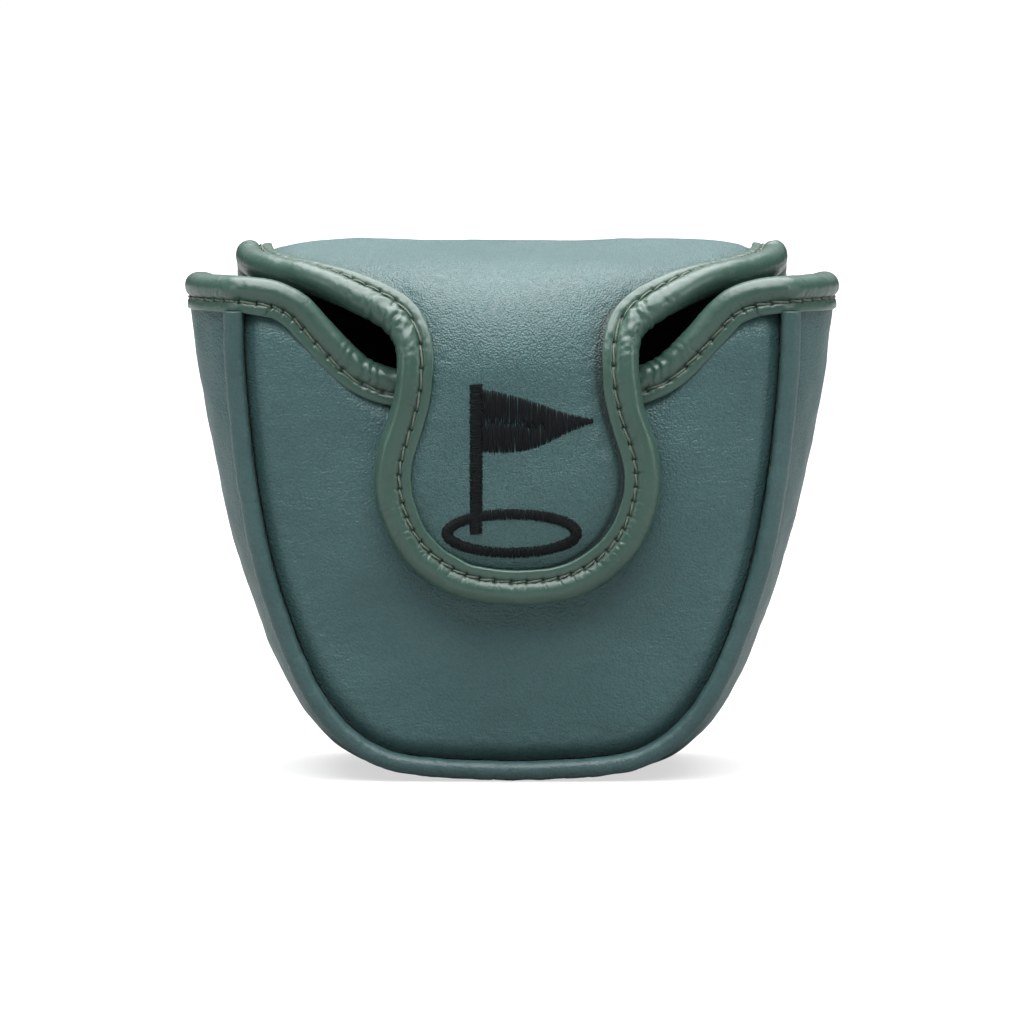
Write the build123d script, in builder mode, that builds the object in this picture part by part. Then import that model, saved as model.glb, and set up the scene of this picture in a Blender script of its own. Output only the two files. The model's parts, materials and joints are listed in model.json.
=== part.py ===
from build123d import *
import math
import os

os.makedirs("parts", exist_ok=True)

# All lengths in mm. Front is -Y, up is +Z, the origin is the middle of the flat base.

# Layers of the padded leather
leather = 1.2
panel_foam = 2.3
lining = 1.0
panel_wall = leather + panel_foam + lining
clearance = 0.1

# Front and back panels
panel_face = 26.0
gusset_half_depth = 22.5
sketch_top = 118.0
panel_half = [
    (0, 4.6),
    (20, 5.6),
    (30, 8.0),
    (38.3, 14.4),
    (44.5, 23.4),
    (51.5, 41),
    (54.4, 51),
    (57.6, 67),
    (59.6, 83),
    (60.8, 97),
    (61, 110),
    (61, sketch_top),
]
gusset_half = [
    (0, -1.2),
    (20, -0.8),
    (34, 2.0),
    (45.6, 11.5),
    (53.7, 26),
    (60.4, 44.5),
    (64.4, 58.5),
    (67.5, 72.4),
    (70.2, 86.4),
    (72.6, 99),
    (73.8, 110),
    (73.9, sketch_top),
]
gusset_lap = 2.0

# Piping
piping_radius = 2.2
piping_cord_radius = 1.5
piping_offset = 2.3
front_piping_top = 105.3
back_piping_top = 107.4
seam_thread_radius = 0.3
seam_thread_offset = 3.5
seam_thread_y = 22.4

# Binding: a folded strip round a soft roll
binding_height = 8.8
binding_wall = 1.2
roll_depth = 4.0
rim_top = 114.5
rim_front = [
    (0, 93),
    (14, 93),
    (24, 93.1),
    (28.5, 93.9),
    (31.9, 95.6),
    (34.5, 97.9),
    (37, 100.6),
    (39.6, 103.2),
    (42, 105.8),
    (44.5, 108.3),
    (47, 110.4),
    (49.7, 112),
    (52.6, 113.2),
    (56.5, 114.1),
    (61, rim_top),
    (66, rim_top),
    (72, rim_top),
]
rim_side = [
    (-40, rim_top),
    (-30, rim_top),
    (-20, rim_top),
    (-10, rim_top),
    (-2, rim_top),
    (3, 114.4),
    (7, 113.9),
    (10.5, 112.9),
    (14, 110.9),
    (17, 108.9),
    (19.5, 107.8),
    (22, 107.4),
    (26, 107.3),
    (32, 107.3),
]
rim_corner_x = 64.0
rim_corner_radius = 4.0
stitch_depth = 5.7
stitch_width = 0.7
stitch_height = 0.6
stitch_pitch = 4.0
stitch_gap = 1.0

# Flap and tongue side profile, in the YZ plane
hinge_height = 108.0
rear_arc = (15.5, 109.5)
rear_radius = 8.0
front_arc = (-7.5, 90.1)
front_radius = 24.0
slope = 98.0
fold_cut = 160.0
flap_leather = (1.3, 2.5)
flap_foam_layer = (-1.5, 1.3)
flap_lining_layer = (-2.5, -1.5)
binding_layer = 3.5
channel_layer = 2.5

# Outer edge of the flap binding, as (half width, length along the flap from the hinge)
strip_half = [
    (27.2, 72),
    (27.4, 66.5),
    (28.8, 62.8),
    (31.8, 59.6),
    (37, 55.6),
    (46.5, 47.6),
    (55.6, 37.5),
    (61.3, 28),
    (63.7, 18),
    (64.2, 8),
    (64.2, 2),
]
strip_view = 122.0
outer_lip = 3.7

# Outer edge of the tongue binding seen from the front
tongue_half = [
    (0, 40.5),
    (11.3, 41.7),
    (20.3, 46),
    (27.3, 53.2),
    (31.1, 61.7),
    (32.2, 69),
    (31.4, 75.8),
    (29.3, 83),
    (27.7, 89),
    (27.2, 94.5),
    (27.3, 100),
    (27.3, sketch_top),
]
tongue_end = 30.0

# Magnet closure
magnet_height = 60.0
magnet_radius = 10.0
tongue_magnet_thickness = 2.0
front_magnet_thickness = 1.6
patch_radius = 13.0
patch_thickness = 0.5

# Embroidered flag
thread_height = 0.6
pole_x = -8.0
pole_width = 2.4
pole_foot = 56.0
pole_top = 90.0
hole_radii = (17.0, 4.6)
hole_stitch = 1.9

reach = 90.0


def shifted(points, distance):
    """Moves each point sideways, to the right of the direction of travel."""
    moved = []
    for index, (x, y) in enumerate(points):
        before = points[max(index - 1, 0)]
        after = points[min(index + 1, len(points) - 1)]
        run = (after[0] - before[0], after[1] - before[1])
        length = math.hypot(run[0], run[1])
        moved.append((x + distance * run[1] / length, y - distance * run[0] / length))
    return moved


def both_sides(half):
    """Mirrors a half outline that starts on the centre line, left end first."""
    return [(-x, y) for x, y in reversed(half[1:])] + list(half)


def draw_closed(points):
    """Face inside a smooth outline whose two ends are joined by a straight line."""
    with BuildLine() as outline:
        Spline(points)
        Line(points[-1], points[0])
    make_face(outline.edges())


def draw_band(first, second):
    """Face between two smooth open curves."""
    with BuildLine() as outline:
        Spline(first)
        Line(first[-1], second[-1])
        Spline(second)
        Line(second[0], first[0])
    make_face(outline.edges())


def panel_outline(distance):
    return shifted(both_sides(panel_half), distance)


def gusset_outline(distance):
    return shifted(both_sides(gusset_half), distance)


def tongue_outline(distance):
    return shifted(both_sides(tongue_half), distance)


def rim_curve(depth):
    return shifted(both_sides(rim_front), depth)


def side_curve(depth):
    return shifted(rim_side, depth)


def slab(distance, face, thickness):
    """Panel-shaped slab; face is its y on the -Y side of the thickness."""
    with BuildSketch(Plane.XZ.offset(-face - thickness)) as section:
        draw_closed(panel_outline(distance))
    extrude(section.sketch, amount=thickness)


def trim_above_rim(depth):
    """Removes the front panel's material above the rim curve."""
    curve = rim_curve(depth)
    with BuildSketch(Plane.XZ.offset(gusset_half_depth - 5)) as waste:
        with BuildLine():
            Spline(curve)
            Polyline(curve[-1], (reach, 140), (-reach, 140), curve[0])
        make_face()
    extrude(waste.sketch, amount=12, mode=Mode.SUBTRACT)


def trim_above(height):
    with BuildSketch(Plane.XY.offset(height)) as waste:
        Rectangle(2 * reach, 2 * reach)
    extrude(waste.sketch, amount=60, mode=Mode.SUBTRACT)


def trim_below(height):
    with BuildSketch(Plane.XY.offset(height - 20)) as waste:
        Rectangle(2 * reach, 2 * reach)
    extrude(waste.sketch, amount=20, mode=Mode.SUBTRACT)


def gusset_body(distance):
    """Barrel-shaped body through the two seam outlines and the wider middle."""
    sections = []
    for plane_y in (gusset_half_depth, 0, -gusset_half_depth):
        with BuildSketch(Plane.XZ.offset(plane_y)) as section:
            if plane_y == 0:
                draw_closed(gusset_outline(distance))
            else:
                draw_closed(panel_outline(distance + gusset_lap))
        sections.append(section.sketch.face())
    loft(sections)


def trim_above_side(depth):
    """Removes the gusset's material above the rim curve seen from the side."""
    curve = side_curve(depth)
    with BuildSketch(Plane.YZ.offset(-reach)) as waste:
        with BuildLine():
            Spline(curve)
            Polyline(curve[-1], (60, 140), (-60, 140), curve[0])
        make_face()
    extrude(waste.sketch, amount=2 * reach, mode=Mode.SUBTRACT)


def keep_side_band(upper, lower):
    """Keeps only the material between two depths below the rim curve."""
    with BuildSketch(Plane.YZ.offset(-reach)) as band:
        draw_band(side_curve(upper), side_curve(lower))
    extrude(band.sketch, amount=2 * reach, mode=Mode.INTERSECT)


def gusset_layer(outer, inner, base):
    """One layer of the side band, between two insets."""
    with BuildPart() as hollow:
        gusset_body(-inner)
        trim_below(base + inner - outer)
    gusset_body(-outer)
    trim_below(base)
    add(hollow.part, mode=Mode.SUBTRACT)
    trim_above_side(roll_depth + clearance)


def side_band(outer, inner, upper, lower):
    """Piece of rim on the gusset, between two insets and two depths."""
    with BuildPart() as hollow:
        gusset_body(-inner)
    gusset_body(-outer)
    add(hollow.part, mode=Mode.SUBTRACT)
    keep_side_band(upper, lower)


def profile_points(offset, end):
    """Corner points of the flap profile at one offset from its middle surface."""
    rear = rear_radius + offset
    front = front_radius + offset
    turn = math.radians(slope)
    return {
        "foot": (rear_arc[0] + rear, hinge_height),
        "rear": (rear_arc[0] + rear, rear_arc[1]),
        "back": (rear_arc[0] + rear * math.cos(turn), rear_arc[1] + rear * math.sin(turn)),
        "fore": (front_arc[0] + front * math.cos(turn), front_arc[1] + front * math.sin(turn)),
        "cut": (
            front_arc[0] + front * math.cos(math.radians(fold_cut)),
            front_arc[1] + front * math.sin(math.radians(fold_cut)),
        ),
        "down": (front_arc[0] - front, front_arc[1]),
        "tip": (front_arc[0] - front, end),
    }


def flap_band(inner, outer):
    """Bent slab of the flap between two offsets, the full width of the cover."""
    low = profile_points(inner, 0)
    high = profile_points(outer, 0)
    with BuildSketch(Plane.YZ.offset(-reach)) as band:
        with BuildLine():
            for offset, spot in ((inner, low), (outer, high)):
                Line(spot["foot"], spot["rear"])
                CenterArc(rear_arc, rear_radius + offset, 0, slope)
                Line(spot["back"], spot["fore"])
                CenterArc(front_arc, front_radius + offset, slope, fold_cut - slope)
            Line(low["foot"], high["foot"])
            Line(low["cut"], high["cut"])
        make_face()
    extrude(band.sketch, amount=2 * reach)


def tongue_band(inner, outer):
    """Bent slab of the tongue between two offsets, the full width of the cover."""
    low = profile_points(inner, tongue_end)
    high = profile_points(outer, tongue_end)
    with BuildSketch(Plane.YZ.offset(-reach)) as band:
        with BuildLine():
            for offset, spot in ((inner, low), (outer, high)):
                CenterArc(front_arc, front_radius + offset, fold_cut, 180 - fold_cut)
                Line(spot["down"], spot["tip"])
            Line(low["cut"], high["cut"])
            Line(low["tip"], high["tip"])
        make_face()
    extrude(band.sketch, amount=2 * reach)


def strip_point(run):
    """(y, z) of the flap's middle surface, at a length along it from the hinge."""
    upright = rear_arc[1] - hinge_height
    turned = upright + rear_radius * math.radians(slope)
    spot = profile_points(0, 0)
    flat = math.dist(spot["back"], spot["fore"])
    if run < upright:
        return (spot["foot"][0], hinge_height + run)
    if run < turned:
        angle = (run - upright) / rear_radius
        return (
            rear_arc[0] + rear_radius * math.cos(angle),
            rear_arc[1] + rear_radius * math.sin(angle),
        )
    if run < turned + flat:
        share = (run - turned) / flat
        return (
            spot["back"][0] + share * (spot["fore"][0] - spot["back"][0]),
            spot["back"][1] + share * (spot["fore"][1] - spot["back"][1]),
        )
    angle = math.radians(slope) + (run - turned - flat) / front_radius
    return (
        front_arc[0] + front_radius * math.cos(angle),
        front_arc[1] + front_radius * math.sin(angle),
    )


def flap_outline(distance):
    """Flap outline in the tilted view, moved outwards by a distance."""
    tilt = math.radians(strip_view)
    moved = shifted(strip_half, -distance)[1:-1]
    seen = []
    for x, run in moved:
        y, z = strip_point(run)
        seen.append((x, y * math.sin(tilt) - z * math.cos(tilt)))
    neck = [(moved[0][0], seen[0][1] - step) for step in (60, 40, 25, 12)]
    rear = [(moved[-1][0], seen[-1][1] + step) for step in (12, 25, 40)]
    return neck + seen + rear


def trim_flap(distance, mode=Mode.INTERSECT):
    """Keeps, or with another mode removes, what is inside the flap outline."""
    tilt = math.radians(strip_view)
    view = Plane(origin=(0, 0, 0), x_dir=(1, 0, 0), z_dir=(0, math.cos(tilt), math.sin(tilt)))
    right = flap_outline(distance)
    left = [(-x, v) for x, v in right]
    with BuildSketch(view) as plan:
        with BuildLine():
            for side in (right, left):
                Spline(side)
            Line(right[0], left[0])
            Line(right[-1], left[-1])
        make_face()
    extrude(plan.sketch, amount=160, mode=mode)


def keep_side(sign):
    """Keeps the half of the cover on one side of the middle plane."""
    with Locations((sign * reach / 2, 0, 60)):
        Box(reach, 2 * reach, 3 * reach, mode=Mode.INTERSECT)


def trim_tongue(distance, mode=Mode.INTERSECT):
    """Keeps, or with another mode removes, what is inside the tongue outline."""
    with BuildSketch(Plane.XZ.offset(20)) as front_view:
        draw_closed(tongue_outline(distance))
    extrude(front_view.sketch, amount=30, mode=mode)


def lifted(x, y, z, height):
    """Point above the flap's middle surface, along the surface normal."""
    centre = rear_arc if y > 0 else front_arc
    away = (y - centre[0], z - centre[1])
    length = math.hypot(away[0], away[1])
    return (x, y + height * away[0] / length, z + height * away[1] / length)


def open_stitches(line):
    """Cuts the gaps between stitches along a guide line."""
    count = int(line.length / stitch_pitch)
    for index in range(1, count):
        with Locations(line.location_at(index / count)):
            Cylinder(1.4, stitch_gap, mode=Mode.SUBTRACT)


lining_inset = gusset_lap - panel_wall - binding_wall - 2 * clearance

# ---- Pouch: front panel ----

with BuildPart() as front_panel:
    slab(0, -panel_face, leather)
    trim_above_rim(roll_depth + clearance)
front_panel.part.label = "front_panel"
export_step(front_panel.part, "parts/front_panel.step")

front_foam_face = -panel_face + leather
front_lining_face = front_foam_face + panel_foam
front_patch_face = front_lining_face - patch_thickness - clearance
front_magnet_face = front_patch_face - front_magnet_thickness - clearance

with BuildPart() as front_foam:
    slab(-0.5, front_foam_face, panel_foam)
    trim_above_rim(roll_depth + clearance)
    with BuildSketch(Plane.XZ.offset(-front_lining_face)):
        with Locations((0, magnet_height)):
            Circle(patch_radius + clearance)
    extrude(amount=patch_thickness + clearance, mode=Mode.SUBTRACT)
    with BuildSketch(Plane.XZ.offset(-front_lining_face)):
        with Locations((0, magnet_height)):
            Circle(magnet_radius + clearance)
    extrude(amount=front_lining_face - front_magnet_face + clearance, mode=Mode.SUBTRACT)
front_foam.part.label = "front_foam"
export_step(front_foam.part, "parts/front_foam.step")

with BuildPart() as front_lining:
    slab(lining_inset, front_lining_face, lining)
    trim_above_rim(roll_depth + clearance)
front_lining.part.label = "front_lining"
export_step(front_lining.part, "parts/front_lining.step")

with BuildPart() as front_magnet:
    with BuildSketch(Plane.XZ.offset(-front_magnet_face - front_magnet_thickness)):
        with Locations((0, magnet_height)):
            Circle(magnet_radius)
    extrude(amount=front_magnet_thickness)
    fillet(front_magnet.edges(), radius=0.2)
front_magnet.part.label = "front_magnet"
export_step(front_magnet.part, "parts/front_magnet.step")

with BuildPart() as front_magnet_patch:
    with BuildSketch(Plane.XZ.offset(-front_patch_face - patch_thickness)):
        with Locations((0, magnet_height)):
            Circle(patch_radius)
    extrude(amount=patch_thickness)
front_magnet_patch.part.label = "front_magnet_patch"
export_step(front_magnet_patch.part, "parts/front_magnet_patch.step")

# ---- Pouch: back panel ----

back_top = hinge_height - 2 * clearance

with BuildPart() as back_panel:
    slab(0, panel_face - leather, leather)
    trim_above(back_top)
back_panel.part.label = "back_panel"
export_step(back_panel.part, "parts/back_panel.step")

with BuildPart() as back_foam:
    slab(-0.5, gusset_half_depth, panel_foam)
    trim_above(back_top)
back_foam.part.label = "back_foam"
export_step(back_foam.part, "parts/back_foam.step")

with BuildPart() as back_lining:
    slab(lining_inset, gusset_half_depth - lining, lining)
    trim_above(back_top)
back_lining.part.label = "back_lining"
export_step(back_lining.part, "parts/back_lining.step")

# ---- Pouch: side band round both sides and the bottom ----

with BuildPart() as gusset:
    gusset_layer(0, leather, 0)
gusset.part.label = "gusset"
export_step(gusset.part, "parts/gusset.step")

with BuildPart() as gusset_foam:
    gusset_layer(leather, leather + panel_foam, leather)
gusset_foam.part.label = "gusset_foam"
export_step(gusset_foam.part, "parts/gusset_foam.step")

with BuildPart() as gusset_lining:
    gusset_layer(leather + panel_foam, panel_wall, leather + panel_foam)
gusset_lining.part.label = "gusset_lining"
export_step(gusset_lining.part, "parts/gusset_lining.step")

# ---- Pouch: piping rolls and seam threads ----

piping_y = panel_face - leather
pipings = {"front": (-piping_y, front_piping_top), "back": (piping_y, back_piping_top)}

for end, (seam_y, top) in pipings.items():
    with BuildPart() as piping:
        with BuildLine(Plane.XZ.offset(-seam_y)) as piping_path:
            Spline(panel_outline(piping_offset))
        with BuildSketch(piping_path.line ^ 0):
            Circle(piping_radius)
            Circle(piping_cord_radius, mode=Mode.SUBTRACT)
        sweep(path=piping_path.line)
        trim_above(top)
    piping.part.label = end + "_piping"
    export_step(piping.part, "parts/" + end + "_piping.step")

    with BuildPart() as cord:
        with BuildLine(Plane.XZ.offset(-seam_y)) as cord_path:
            Spline(panel_outline(piping_offset))
        with BuildSketch(cord_path.line ^ 0):
            Circle(piping_cord_radius - clearance)
        sweep(path=cord_path.line)
        trim_above(top)
    cord.part.label = end + "_piping_cord"
    export_step(cord.part, "parts/" + end + "_piping_cord.step")

    with BuildPart() as thread:
        thread_plane = Plane.XZ.offset(-math.copysign(seam_thread_y, seam_y))
        with BuildLine(thread_plane) as thread_path:
            Spline(panel_outline(seam_thread_offset))
        with BuildSketch(thread_path.line ^ 0):
            Circle(seam_thread_radius)
        sweep(path=thread_path.line)
        trim_above(rim_top - binding_height - 9)
    thread.part.label = end + "_seam_thread"
    export_step(thread.part, "parts/" + end + "_seam_thread.step")

# ---- Pouch: binding round the mouth ----

wall_middle = panel_wall / 2
binding_out = binding_wall + clearance
rim_face = panel_face + binding_out
rim_thickness = panel_wall + 2 * binding_out

with BuildPart() as rim_sides:
    side_band(-binding_out, panel_wall + binding_out, 0, binding_height)

with BuildPart() as side_channel:
    side_band(-clearance, panel_wall + clearance, binding_wall, binding_height + 4)

with BuildPart() as front_channel:
    slab(clearance, -panel_face - clearance, panel_wall + 2 * clearance)
    trim_above_rim(binding_wall)

with BuildPart() as rim_binding:
    with BuildSketch(Plane.XZ.offset(rim_face - rim_thickness)):
        draw_band(rim_curve(0), rim_curve(binding_height))
    extrude(amount=rim_thickness)
    with Locations((0, -rim_face + rim_thickness / 2, 100)):
        Box(2 * rim_corner_x, rim_thickness, 60, mode=Mode.INTERSECT)
    fillet(rim_binding.edges().filter_by(Axis.Z).group_by(Axis.Y)[0], radius=rim_corner_radius)
    add(rim_sides.part)
    add(side_channel.part, mode=Mode.SUBTRACT)
    add(front_channel.part, mode=Mode.SUBTRACT)
rim_binding.part.label = "rim_binding"
export_step(rim_binding.part, "parts/rim_binding.step")

with BuildPart() as filler_sides:
    side_band(clearance, panel_wall - clearance, binding_wall + clearance, roll_depth)

with BuildPart() as rim_filler:
    slab(-0.5, -panel_face + clearance, panel_wall - 2 * clearance)
    trim_above_rim(binding_wall + clearance)
    with BuildSketch(Plane.XZ.offset(0)):
        draw_band(rim_curve(0), rim_curve(roll_depth))
    extrude(amount=40, mode=Mode.INTERSECT)
    add(filler_sides.part)
rim_filler.part.label = "rim_binding_filler"
export_step(rim_filler.part, "parts/rim_binding_filler.step")

with BuildPart() as rim_stitching:
    with BuildSketch(Plane.XZ.offset(rim_face)):
        draw_band(
            rim_curve(stitch_depth - stitch_width / 2), rim_curve(stitch_depth + stitch_width / 2)
        )
    extrude(amount=stitch_height)
    with Locations((0, -rim_face, 100)):
        Box(2 * rim_corner_x - 10, 4, 60, mode=Mode.INTERSECT)
    with BuildLine(Plane.XZ.offset(rim_face + stitch_height / 2)) as rim_guide:
        Spline(rim_curve(stitch_depth)[1:-1])
    open_stitches(rim_guide.edges()[0])
rim_stitching.part.label = "rim_stitching"
export_step(rim_stitching.part, "parts/rim_stitching.step")

# ---- Flap ----

flap_layers = {
    "flap_shell": flap_leather,
    "flap_foam": flap_foam_layer,
    "flap_lining": flap_lining_layer,
}

for label, (inner, outer) in flap_layers.items():
    with BuildPart() as flap_piece:
        flap_band(inner, outer)
        trim_flap(-outer_lip)
    flap_piece.part.label = label
    export_step(flap_piece.part, "parts/" + label + ".step")

with BuildPart() as flap_channel:
    flap_band(-channel_layer - clearance, channel_layer + clearance)
    trim_flap(-binding_wall)

for side, sign in (("left", -1), ("right", 1)):
    with BuildPart() as flap_binding:
        flap_band(-binding_layer - clearance, binding_layer)
        trim_flap(0)
        trim_flap(-binding_height, Mode.SUBTRACT)
        add(flap_channel.part, mode=Mode.SUBTRACT)
        keep_side(sign)
    flap_binding.part.label = "flap_binding_" + side
    export_step(flap_binding.part, "parts/flap_binding_" + side + ".step")

    with BuildPart() as flap_filler:
        flap_band(-channel_layer, channel_layer)
        trim_flap(-binding_wall - clearance)
        trim_flap(clearance - outer_lip, Mode.SUBTRACT)
        keep_side(sign)
    flap_filler.part.label = "flap_binding_filler_" + side
    export_step(flap_filler.part, "parts/flap_binding_filler_" + side + ".step")

with BuildPart() as flap_stitching:
    flap_band(binding_layer, binding_layer + stitch_height)
    trim_flap(-stitch_depth + stitch_width / 2)
    trim_flap(-stitch_depth - stitch_width / 2, Mode.SUBTRACT)
    for sign in (-1, 1):
        raised = []
        for x, run in shifted(strip_half, stitch_depth)[1:-1]:
            y, z = strip_point(run)
            raised.append(lifted(sign * x, y, z, binding_layer + stitch_height / 2))
        open_stitches(Spline(raised, mode=Mode.PRIVATE))
flap_stitching.part.label = "flap_stitching"
export_step(flap_stitching.part, "parts/flap_stitching.step")

# ---- Tongue ----

with BuildPart() as tongue_shell:
    tongue_band(flap_leather[0], flap_leather[1])
    trim_tongue(-outer_lip)
tongue_shell.part.label = "tongue_shell"
export_step(tongue_shell.part, "parts/tongue_shell.step")

tongue_middle = -front_arc[0] + front_radius
tongue_lining_face = tongue_middle - flap_lining_layer[1] * -1
tongue_patch_back = tongue_middle + flap_foam_layer[0]
tongue_magnet_back = tongue_patch_back + patch_thickness + clearance

with BuildPart() as tongue_foam:
    tongue_band(flap_foam_layer[0], flap_foam_layer[1])
    trim_tongue(-outer_lip)
    with BuildSketch(Plane.XZ.offset(tongue_patch_back)):
        with Locations((0, magnet_height)):
            Circle(patch_radius + clearance)
    extrude(amount=patch_thickness + clearance, mode=Mode.SUBTRACT)
    with BuildSketch(Plane.XZ.offset(tongue_patch_back)):
        with Locations((0, magnet_height)):
            Circle(magnet_radius + clearance)
    extrude(
        amount=tongue_magnet_back - tongue_patch_back + tongue_magnet_thickness + clearance,
        mode=Mode.SUBTRACT,
    )
tongue_foam.part.label = "tongue_foam"
export_step(tongue_foam.part, "parts/tongue_foam.step")

with BuildPart() as tongue_lining:
    tongue_band(flap_lining_layer[0], flap_lining_layer[1])
    trim_tongue(-outer_lip)
tongue_lining.part.label = "tongue_lining"
export_step(tongue_lining.part, "parts/tongue_lining.step")

with BuildPart() as tongue_magnet:
    with BuildSketch(Plane.XZ.offset(tongue_magnet_back)):
        with Locations((0, magnet_height)):
            Circle(magnet_radius)
    extrude(amount=tongue_magnet_thickness)
    fillet(tongue_magnet.edges(), radius=0.2)
tongue_magnet.part.label = "tongue_magnet"
export_step(tongue_magnet.part, "parts/tongue_magnet.step")

with BuildPart() as tongue_magnet_patch:
    with BuildSketch(Plane.XZ.offset(tongue_patch_back)):
        with Locations((0, magnet_height)):
            Circle(patch_radius)
    extrude(amount=patch_thickness)
tongue_magnet_patch.part.label = "tongue_magnet_patch"
export_step(tongue_magnet_patch.part, "parts/tongue_magnet_patch.step")

with BuildPart() as tongue_channel:
    tongue_band(-channel_layer - clearance, channel_layer + clearance)
    trim_tongue(-binding_wall)

with BuildPart() as tongue_binding:
    tongue_band(-binding_layer - clearance, binding_layer)
    trim_tongue(0)
    trim_tongue(-binding_height, Mode.SUBTRACT)
    add(tongue_channel.part, mode=Mode.SUBTRACT)
tongue_binding.part.label = "tongue_binding"
export_step(tongue_binding.part, "parts/tongue_binding.step")

with BuildPart() as tongue_filler:
    tongue_band(-channel_layer, channel_layer)
    trim_tongue(-binding_wall - clearance)
    trim_tongue(-outer_lip + clearance, Mode.SUBTRACT)
tongue_filler.part.label = "tongue_binding_filler"
export_step(tongue_filler.part, "parts/tongue_binding_filler.step")

with BuildPart() as tongue_stitching:
    tongue_band(binding_layer, binding_layer + stitch_height)
    trim_tongue(-stitch_depth + stitch_width / 2)
    trim_tongue(-stitch_depth - stitch_width / 2, Mode.SUBTRACT)
    guide_y = tongue_middle + binding_layer + stitch_height / 2
    with BuildLine(Plane.XZ.offset(guide_y)) as tongue_guide:
        Spline(tongue_outline(-stitch_depth)[2:-2])
    open_stitches(tongue_guide.edges()[0])
tongue_stitching.part.label = "tongue_stitching"
export_step(tongue_stitching.part, "parts/tongue_stitching.step")

# ---- Embroidered flag on the tongue ----

flag_left = pole_x + pole_width / 2 + 0.4
flag_top = [(flag_left, 89.6), (3, 87.6), (10, 86.0), (17, 81.6)]
flag_low = [(flag_left, 73.6), (3, 74.6), (10, 77.2), (17, 81.6)]

with BuildPart() as emblem:
    with BuildSketch(Plane.XZ.offset(tongue_middle + flap_leather[1])):
        with BuildLine():
            Spline(flag_top)
            Spline(flag_low)
            Line(flag_top[0], flag_low[0])
        make_face()
        with Locations((0, pole_foot)):
            Ellipse(hole_radii[0], hole_radii[1])
            Ellipse(hole_radii[0] - hole_stitch, hole_radii[1] - hole_stitch, mode=Mode.SUBTRACT)
        with Locations((pole_x, (pole_foot + pole_top) / 2)):
            SlotCenterToCenter(pole_top - pole_foot - pole_width, pole_width, rotation=90)
    extrude(amount=thread_height)
emblem.part.label = "emblem_embroidery"
export_step(emblem.part, "parts/emblem_embroidery.step")
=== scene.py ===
import json
import math

import bpy
import numpy as np
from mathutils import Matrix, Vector

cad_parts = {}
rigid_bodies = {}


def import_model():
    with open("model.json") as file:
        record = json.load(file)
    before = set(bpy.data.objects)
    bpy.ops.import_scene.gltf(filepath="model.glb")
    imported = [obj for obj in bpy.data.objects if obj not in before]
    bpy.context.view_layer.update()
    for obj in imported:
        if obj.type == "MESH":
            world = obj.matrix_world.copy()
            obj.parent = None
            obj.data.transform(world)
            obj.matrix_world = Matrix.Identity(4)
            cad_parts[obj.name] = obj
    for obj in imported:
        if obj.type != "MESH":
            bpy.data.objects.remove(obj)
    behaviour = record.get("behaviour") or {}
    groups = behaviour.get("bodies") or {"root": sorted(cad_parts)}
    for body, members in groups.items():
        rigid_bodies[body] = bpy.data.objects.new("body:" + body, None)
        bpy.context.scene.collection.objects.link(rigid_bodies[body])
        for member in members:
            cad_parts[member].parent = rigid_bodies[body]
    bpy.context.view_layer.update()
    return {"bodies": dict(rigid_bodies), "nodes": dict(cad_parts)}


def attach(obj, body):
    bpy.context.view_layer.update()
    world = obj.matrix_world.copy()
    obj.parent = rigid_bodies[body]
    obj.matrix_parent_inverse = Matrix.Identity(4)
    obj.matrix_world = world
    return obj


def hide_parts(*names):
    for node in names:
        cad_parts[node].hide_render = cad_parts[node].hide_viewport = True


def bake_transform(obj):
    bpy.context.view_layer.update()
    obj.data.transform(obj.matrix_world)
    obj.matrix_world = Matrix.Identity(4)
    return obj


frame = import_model()

# Lengths are in millimetres until a mesh is made.
MM = 0.001
PANEL_FACE = 26.0  # the front panel's surface at its seam, in front of the centre
PANEL_FOOT = 4.6  # the panels' lowest seam height
PANEL_TOP = 110.0  # the panels' top before they are cut to the rim
GUSSET_REACH = 22.5  # the gusset's seams, in front of and behind the centre
PIPING_REACH = 24.8  # the piping rolls' centres, in front of and behind the centre
PIPING_RADIUS = 2.2

# The strip of back panel, flap and tongue, followed from the back panel's top at t = 0
HINGE_HEIGHT = 108.0
BACK_REACH = 23.5
REAR_FOLD_Y, REAR_FOLD_Z, REAR_FOLD_RADIUS = 15.5, 109.5, 8.0
FRONT_FOLD_Y, FRONT_FOLD_Z, FRONT_FOLD_RADIUS = -7.5, 90.1, 24.0
FLAP_TILT = math.radians(98)  # the way the flap's surface faces, from straight back
REAR_FOLD_START = 1.5
FLAP_START = 15.184
FRONT_FOLD_START = 40.65
TONGUE_START = 75.0
HIDE_SPLIT = 28.0  # where the rear hide meets the fore hide

# Bindings
STITCH_IN = 5.7  # the stitch row, in from the binding's outer edge
STITCH_PITCH = 4.0
STITCH_VALLEY = 2.34  # the leather's height under the stitch row

# Half outlines, from the centre line outwards or up.
# Front and back panel at their seams, and the gusset's crown: (half width, height)
PANEL_HALF = [
    (0, 4.6), (20, 5.6), (30, 8.0), (38.3, 14.4), (44.5, 23.4), (51.5, 41),
    (54.4, 51), (57.4, 67), (59.3, 83), (60.3, 97), (60.4, 110), (60.4, 124),
]
GUSSET_HALF = [
    (0, -1.2), (20, -0.8), (34.4, 1.8), (46.2, 11.1), (54.5, 25.7), (61.3, 44.3),
    (65.3, 58.3), (68.3, 72.3), (71.0, 86.3), (73.0, 99), (74.0, 110), (74.1, 124),
]
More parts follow.
